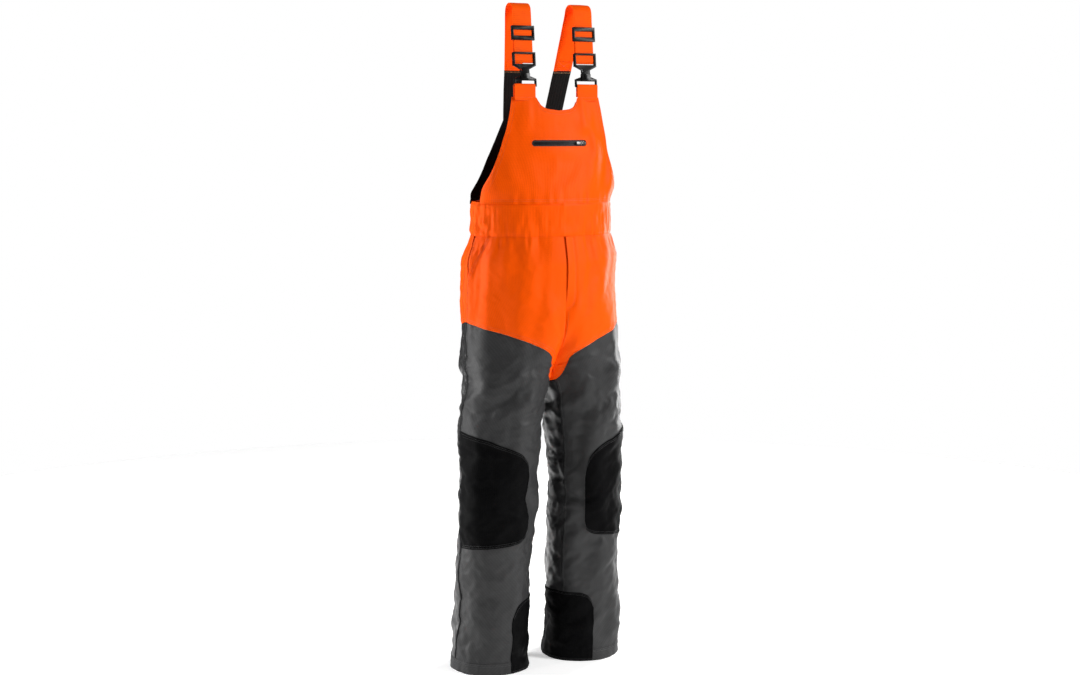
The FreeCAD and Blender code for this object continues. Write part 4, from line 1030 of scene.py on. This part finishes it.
def open_slot(z, x):
    """Snap vertices onto the slot's outline and mask the quads inside it."""
    width, height = ZIP_WINDOW
    radius = height / 2
    nearest = np.clip(x, radius - width / 2, width / 2 - radius)
    gap = np.hypot(x - nearest, z - ZIP_Z)
    inside = gap < radius
    keep = ~(inside[:-1, :-1] | inside[1:, :-1] | inside[:-1, 1:] | inside[1:, 1:])
    touched = np.zeros_like(inside)
    for i in (0, 1):
        for j in (0, 1):
            touched[i:i + keep.shape[0], j:j + keep.shape[1]] |= ~keep
    snap = touched & ~inside
    share = np.where(snap, radius / np.maximum(gap, 1e-6), 1)
    new_x = nearest + (x - nearest) * share
    new_z = ZIP_Z + (z - ZIP_Z) * share
    return new_x / law(BIB, 0, new_z), new_z, keep


def bib():
    across, z, keep = open_slot(*bib_grid())
    outer, inner = (panel_skin(BIB, across, z, depth) for depth in (0, FABRIC))
    dress(cloth_piece("bib_front", outer, inner, keep), ORANGE_NYLON, "bib_front")

    def facing(u, v, depth):
        a = mix(-0.42, 0.42, u)
        high = NECK_BOTTOM + smooth([(0, 0), (0.2, 2), (0.36, 11), (0.42, 21)], np.abs(a))
        return panel_skin(BIB, a, mix(high - 32, high - 1.5, v), depth)
    hang("bib_facing", facing, (92, 31), 1.8, 0.9, ORANGE_NYLON)

    def bag(u, v, depth):
        return panel_skin(BIB, mix(-0.58, 0.58, u), mix(BAG_FOOT, ZIP_Z + 16, v), depth)
    hang("bib_pocket_bag", bag, (160, 122), 7.4, 1.6, DARK_LINING)
    bib_seams()


def edge_rows(stations, z, inset, reach=1):
    """Stitching beside both side edges of a panel."""
    edge = law(stations, 0, z) * reach - inset
    return [on_panel(stations, side * edge, z) for side in (-1, 1)]


def bib_seams():
    rows = []
    for inset in (3, 9):
        x = np.linspace(-NECK_HALF + 2, NECK_HALF - 2, 200)
        rows.append(on_panel(BIB, x, neckline(x) - inset))
        z = np.linspace(BAND_TOP + 24, HORN_TOP - 3, 160)
        rows += edge_rows(BIB, z, inset)
    width, height = ZIP_WINDOW
    radius = height / 2 + 2
    straight = np.linspace(-(width - height) / 2, (width - height) / 2, 90)
    turn = np.linspace(math.pi / 2, -math.pi / 2, 24)
    x = np.concatenate([straight, straight[-1] + radius * np.cos(turn), straight[::-1],
                        straight[0] - radius * np.cos(turn)])
    z = ZIP_Z + np.concatenate([radius + 0 * straight, radius * np.sin(turn),
                                -radius + 0 * straight, -radius * np.sin(turn)])
    rows.append(on_panel(BIB, x, z))
    bar = np.linspace(-9, 9, 12)
    rows.append(on_panel(BIB, bar, ZIP_Z + 27))
    x = np.linspace(-150, 150, 200)
    rows += [on_panel(BIB, x, BAND_TOP + above) for above in (3, 6.5)]
    stitching("bib_stitching", rows, ORANGE_THREAD)


def back():
    reach = [(1080, 0.94), (1095, 0.95), (1120, 0.985), (1140, 1), (1300, 1)]

    def surface(u, v, depth):
        z = mix(BAND_TOP - 7, BACK_TOP, v)
        tucked = 3.6 * ramp(z, BAND_TOP + 5, BAND_TOP - 1)
        return panel_skin(BACK, mix(-1, 1, u) * smooth(reach, z), z, depth - tucked)
    hang("back_panel", surface, (250, 196), 0, 1.6, BLACK_STRETCH)
    rows = []
    for inset in (3, 7):
        z = np.linspace(BAND_TOP + 18, BACK_TOP - 3, 120)
        rows += edge_rows(BACK, z, inset, smooth(reach, z))
        x = np.linspace(-68, 68, 80)
        rows.append(on_panel(BACK, x, BACK_TOP - inset))
    stitching("back_stitching", rows, BLACK_THREAD)


# ---- straps

STRAP_WIDTH, STRAP_THICKNESS = 45, 1.8
RUN_FOOT, TILT = (76, -71, 1390), math.radians(5.8)  # where the front run leaves its buckle
STRAP_RUN, TOP_RADIUS = 107, 20
BACK_SEAM, BACK_FOOT = (62, 10, 1371), (51, 40, 1262)
REAR_BAR_Y, BAR_DEPTH = 1.2, 2
TAB_X, TAB_FOOT, TAB_BEND, TAB_WIDTH = 78, 1304.0, 1311.8, 50.7
TAB_BAR = -10 - 17 - 27.4, -1.4  # the lower buckle's bar, on the line of the front run


def run_point(along, out=0.0):
    """Point of the straight front run: distance up from the buckle, distance in."""
    x, y, z = RUN_FOOT
    return (x, y + along * math.sin(TILT) + out * math.cos(TILT),
            z + along * math.cos(TILT) - out * math.sin(TILT))


def half_circle(count):
    """(share, cosine, sine) of even places on a half circle."""
    return [(share, math.cos(math.pi * share), math.sin(math.pi * share))
            for share in (step / (count - 1) for step in range(count))]


def strap_path():
    """Centre line from the back seam over the shoulder to the front buckle."""
    back = np.array(BACK_SEAM) + (0, 0, 0.5)
    top = np.array(run_point(STRAP_RUN))
    behind = top + (-1.5, 2 * TOP_RADIUS, 0)
    points = [back] + [mix(back, behind, share) for share in (0.35, 0.7)]
    points += [top + (-1.5 * (1 - share), TOP_RADIUS * (1 + cosine), TOP_RADIUS * sine)
               for share, cosine, sine in half_circle(7)]
    return np.array(points + [run_point(STRAP_RUN * share) for share in (0.8, 0.6, 0.4, 0.2, 0)])


def return_path():
    """Webbing end: round the buckle's rear bar, then up behind the front run."""
    behind = REAR_BAR_Y + BAR_DEPTH + 0.3 + STRAP_THICKNESS / 2
    points = [run_point(-SEAM_GAP)]
    points += [run_point(-2 - behind / 2 * sine, behind / 2 * (1 - cosine))
               for _, cosine, sine in half_circle(7)]
    return np.array(points + [run_point(65 * share, behind)
                              for share in (0.05, 0.15, 0.3, 0.5, 0.75, 1)])


def spline(points, count):
    """Even points of a smooth curve through the given ones."""
    points = np.asarray(points, float)
    chord = distances(points, 0.5)
    slopes = np.gradient(points, chord, axis=0)
    fine = np.linspace(0, chord[-1], 40 * len(points))
    i = np.clip(np.searchsorted(chord, fine, side="right") - 1, 0, len(chord) - 2)
    width = (chord[i + 1] - chord[i])[:, None]
    t = ((fine - chord[i]) / width[:, 0])[:, None]
    curve = ((2 * t ** 3 - 3 * t ** 2 + 1) * points[i] + (t ** 3 - 2 * t ** 2 + t) * width * slopes[i]
             + (3 * t ** 2 - 2 * t ** 3) * points[i + 1] + (t ** 3 - t ** 2) * width * slopes[i + 1])
    length = distances(curve)
    return sample(np.linspace(0, length[-1], count), length, curve)


def ribbon(name, path, side, width=STRAP_WIDTH, wave=0.35, seed=50):
    """Flat webbing along a path, its width along x."""
    length = distances(path)[-1]
    line = spline(path, max(12, int(length / 2)))
    tangent = np.gradient(line, axis=0)
    normal = unit(np.stack([0 * line[:, 0], -tangent[:, 2], tangent[:, 1]], -1))
    across = np.linspace(-1, 1, 17)
    run = np.linspace(0, length, len(line))[:, None]
    lift = wave * noise(run / 26, across[None] * 0.8, 0, seed)
    edge = 1 - 0.35 * np.abs(across[None]) ** 12

    def layer(offset):
        points = line[:, None] + normal[:, None] * (offset * edge + lift)[..., None]
        points[..., 0] += across * width / 2
        points[..., 0] *= side
        return points
    outer, inner = (layer(STRAP_THICKNESS * share) for share in (-0.5, 0.5))
    return cloth_piece(name, outer, inner), line, normal


def webbing_stitch(line, normal, side, start, end, half=17, out=-1.3):
    """Stitch row on webbing between two corners: share of its length, share across."""
    t = np.linspace(0, 1, 20)
    at = mix(start[0], end[0], t) * (len(line) - 1)
    across = mix(start[1], end[1], t) * half
    place, way = (sample(at, np.arange(len(line)), values) for values in (line, normal))
    place = place + way * out
    place[:, 0] = (place[:, 0] + across) * side
    way[:, 0] *= side
    return place, way * np.sign(out)


def box_stitch(line, normal, side, first, last, out=-1.3):
    """Stitched box with a cross on webbing, between two shares of its length."""
    corners = [(first, -1), (first, 1), (last, 1), (last, -1), (first, -1), (last, 1), (last, -1),
               (first, 1)]
    return [webbing_stitch(line, normal, side, start, end, out=out)
            for start, end in zip(corners, corners[1:])]


def straps(name, side):
    strap = name + "_strap"
    piece, line, normal = ribbon(name + "_shoulder_strap", strap_path(), side, seed=50 + side)
    dress(piece, WEBBING, name + "_shoulder_strap", strap)
    rows = [row for out in (1.2, -1.3) for row in box_stitch(line, normal, side, 0.008, 0.075, out)]
    stitching(name + "_strap_stitching", rows, ORANGE_THREAD, strap)

    piece, *_ = ribbon(name + "_strap_return", return_path(), side, wave=0)
    finish(piece, WEBBING, name + "_strap_return")
    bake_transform(piece)

    foot, head = np.array(BACK_FOOT) + (-1, 2, -8), np.array(BACK_SEAM) + (0, 0, 1.5)
    path = [mix(foot, head, t) + (0, 1.5 * math.sin(math.pi * t), 0) for t in (0, 0.33, 0.67, 1)]
    piece, line, normal = ribbon(name + "_back_strap", path, side, wave=0.5, seed=60 + side)
    finish(piece, BLACK_ELASTIC, name + "_back_strap")
    rows = box_stitch(line, normal, side, 0.03, 0.1)
    stitching(name + "_back_strap_stitching", rows, TAN_THREAD)
    rows = [webbing_stitch(line, normal, side, (share, -1), (share, 1), 21, out)
            for share in (0.955, 0.972) for out in (-1.2, 1.2)]
    stitching(name + "_strap_seam_stitching", rows, TAN_THREAD, strap)
    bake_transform(piece)


def bib_tab(name, side):
    """Folded webbing tab that holds the lower buckle to the bib."""
    _, bar_y, bar_z = run_point(*TAB_BAR)
    radius = 4.3 - STRAP_THICKNESS / 2
    bib_y = float(panel_skin(BIB, TAB_X / HORN_HALF, TAB_FOOT, -1.4)[1])
    side_view = [(bib_y, TAB_FOOT), (mix(bib_y, bar_y - radius, 0.6), TAB_BEND)]
    side_view += [(bar_y - radius, mix(TAB_BEND, bar_z, t)) for t in (0.4, 0.75)]
    side_view += [(bar_y - radius * cosine, bar_z + radius * sine)
                  for _, cosine, sine in half_circle(9)]
    side_view += [(bar_y + radius, mix(TAB_BEND, bar_z, t)) for t in (0.67, 0.33, 0)]
    points = [(TAB_X, y, z) for y, z in side_view]
    piece, line, _ = ribbon(name + "_bib_tab", points, side, width=TAB_WIDTH, wave=0.1)
    dress(piece, WEBBING, name + "_bib_tab")
    rows = []
    for share in (0.03, 0.1):
        at = int(share * (len(line) - 1))
        x = np.linspace(-23, 23, 40)
        place = np.stack([side * (TAB_X + x), line[at, 1] - 1.0 + 0 * x, line[at, 2] + 0 * x], -1)
        rows.append((place, np.array([[0, -1, 0]] * len(x), float)))
    stitching(name + "_tab_stitching", rows, ORANGE_THREAD)


# ---- fittings

# metres between corners that are one; degrees up to which a face is flat, and of a sharp edge
MERGE, FLAT, EDGE = 0.00002, 1.5, 35


def rounded_copy(node, material, body, radius, segments=2):
    """Copy of a hard CAD piece with its edges rounded, which stands for it."""
    source = bpy.data.objects[node]
    work = bmesh.new()
    work.from_mesh(source.data)
    bmesh.ops.transform(work, matrix=source.matrix_world, verts=work.verts)
    bmesh.ops.remove_doubles(work, verts=work.verts, dist=MERGE)
    bmesh.ops.dissolve_limit(work, angle_limit=math.radians(FLAT), verts=work.verts,
                             edges=work.edges)
    sharp = [e for e in work.edges if len(e.link_faces) == 2
             and e.calc_face_angle() > math.radians(EDGE)]
    bmesh.ops.bevel(work, geom=sharp, offset=radius * MM, segments=segments, profile=0.6,
                    affect="EDGES", clamp_overlap=True)
    mesh = bpy.data.meshes.new(node + "_rounded")
    work.to_mesh(mesh)
    work.free()
    dress(smooth_object(mesh.name, mesh, 40), material, node, body)


def fittings():
    for name, _ in SIDES:
        rounded_copy(name + "_buckle_upper", PLASTIC, name + "_strap", 0.7, 3)
        rounded_copy(name + "_buckle_lower", PLASTIC, "garment", 0.55)
        rounded_copy(name + "_strap_adjuster", PLASTIC, name + "_adjuster", 0.85, 3)
    for part in ("slider", "pull"):
        for zip_name in ("bib_", "fly_"):
            rounded_copy(zip_name + "zip_" + part, ZIP_METAL, zip_name + part, 0.2)
    rounded_copy("bib_zip_stops", ZIP_METAL, "garment", 0.2)
    # these CAD nodes keep their own mesh
    for node, material in (("zip_teeth", ZIP_COIL), ("zip_tape", ZIP_TAPE)):
        for zip_name in ("bib_", "fly_"):
            data = bpy.data.objects[zip_name + node].data
            data.materials.clear()
            data.materials.append(material)


# ---- studio

def look(thing, place, way):
    """Put a lamp or the camera at a place, looking along a way."""
    thing.location = place
    thing.rotation_euler = way.to_track_quat("-Z", "Y").to_euler()


WHITE = (1, 1, 1)
VIEW, TARGET, DISTANCE, LENS = (-27, 7), Vector((0, 0, 0.765)), 3.9, (56.5, 36)
# name, place, size, power, aim
LAMPS = (("key", (2.5, -2.8, 2.2), (0.8, 2.0), 165, (0, 0, 0.8)),
         ("side", (-3.4, -0.7, 1.5), (0.4, 2.6), 18, (0, 0, 0.8)),
         ("rim_left", (-2.4, 1.5, 1.3), (0.7, 2.6), 95, (0, 0, 0.75)),
         ("rim_right", (2.5, 1.2, 1.3), (0.7, 2.6), 80, (0, 0, 0.75)),
         ("sky", (0, 0, 5.0), (9, 9), 80, (0, 0, 0)))


def studio():
    """Pale floor, white surroundings, strong soft light from both sides."""
    bpy.ops.mesh.primitive_circle_add(vertices=128, radius=2.9, fill_type="NGON")
    floor = bpy.context.object
    floor.name = "studio_floor"
    m = Maker("studio_floor", 0.8, 0.2)
    m.fix("Emission Strength", 0.42)
    m.use("Base Color", m.blend_colours(m.noise(m.space, 1.2, 3), shade(WHITE, 0.9),
                                        shade(WHITE, 0.93)))
    floor.data.materials.append(m.material)
    world = bpy.data.worlds.new("studio")
    world.use_nodes = True
    tree = world.node_tree
    ambient = tree.nodes["Background"]
    ambient.inputs["Color"].default_value = shade(WHITE)
    ambient.inputs["Strength"].default_value = 0.05
    backdrop = add_node(tree, "ShaderNodeBackground", {"Color": shade(WHITE)})
    seen = add_node(tree, "ShaderNodeLightPath").outputs["Is Camera Ray"]
    choice = add_node(tree, "ShaderNodeMixShader",
                      {0: seen, 1: ambient.outputs[0], 2: backdrop.outputs[0]})
    tree.links.new(choice.outputs[0], tree.nodes["World Output"].inputs[0])
    bpy.context.scene.world = world
    for name, place, size, power, aim in LAMPS:
        light = bpy.data.lights.new(name, "AREA")
        light.shape = "RECTANGLE"
        light.size, light.size_y = size
        light.energy = power
        look(link(name, light), place, Vector(aim) - Vector(place))


def camera():
    azimuth, elevation = (math.radians(turn) for turn in VIEW)
    way = Vector((math.sin(azimuth) * math.cos(elevation),
                  -math.cos(azimuth) * math.cos(elevation), math.sin(elevation)))
    data = bpy.data.cameras.new("camera")
    data.lens, data.sensor_width = LENS
    eye = link("camera", data)
    look(eye, TARGET + way * DISTANCE, -way)
    bpy.context.scene.camera = eye
    bpy.context.scene.view_settings.view_transform = "Standard"


camera()
studio()
for side_name, side_sign in SIDES:
    trouser_side(side_name, side_sign)
    straps(side_name, side_sign)
    bib_tab(side_name, side_sign)
waist()
fly()
bib()
back()
fittings()
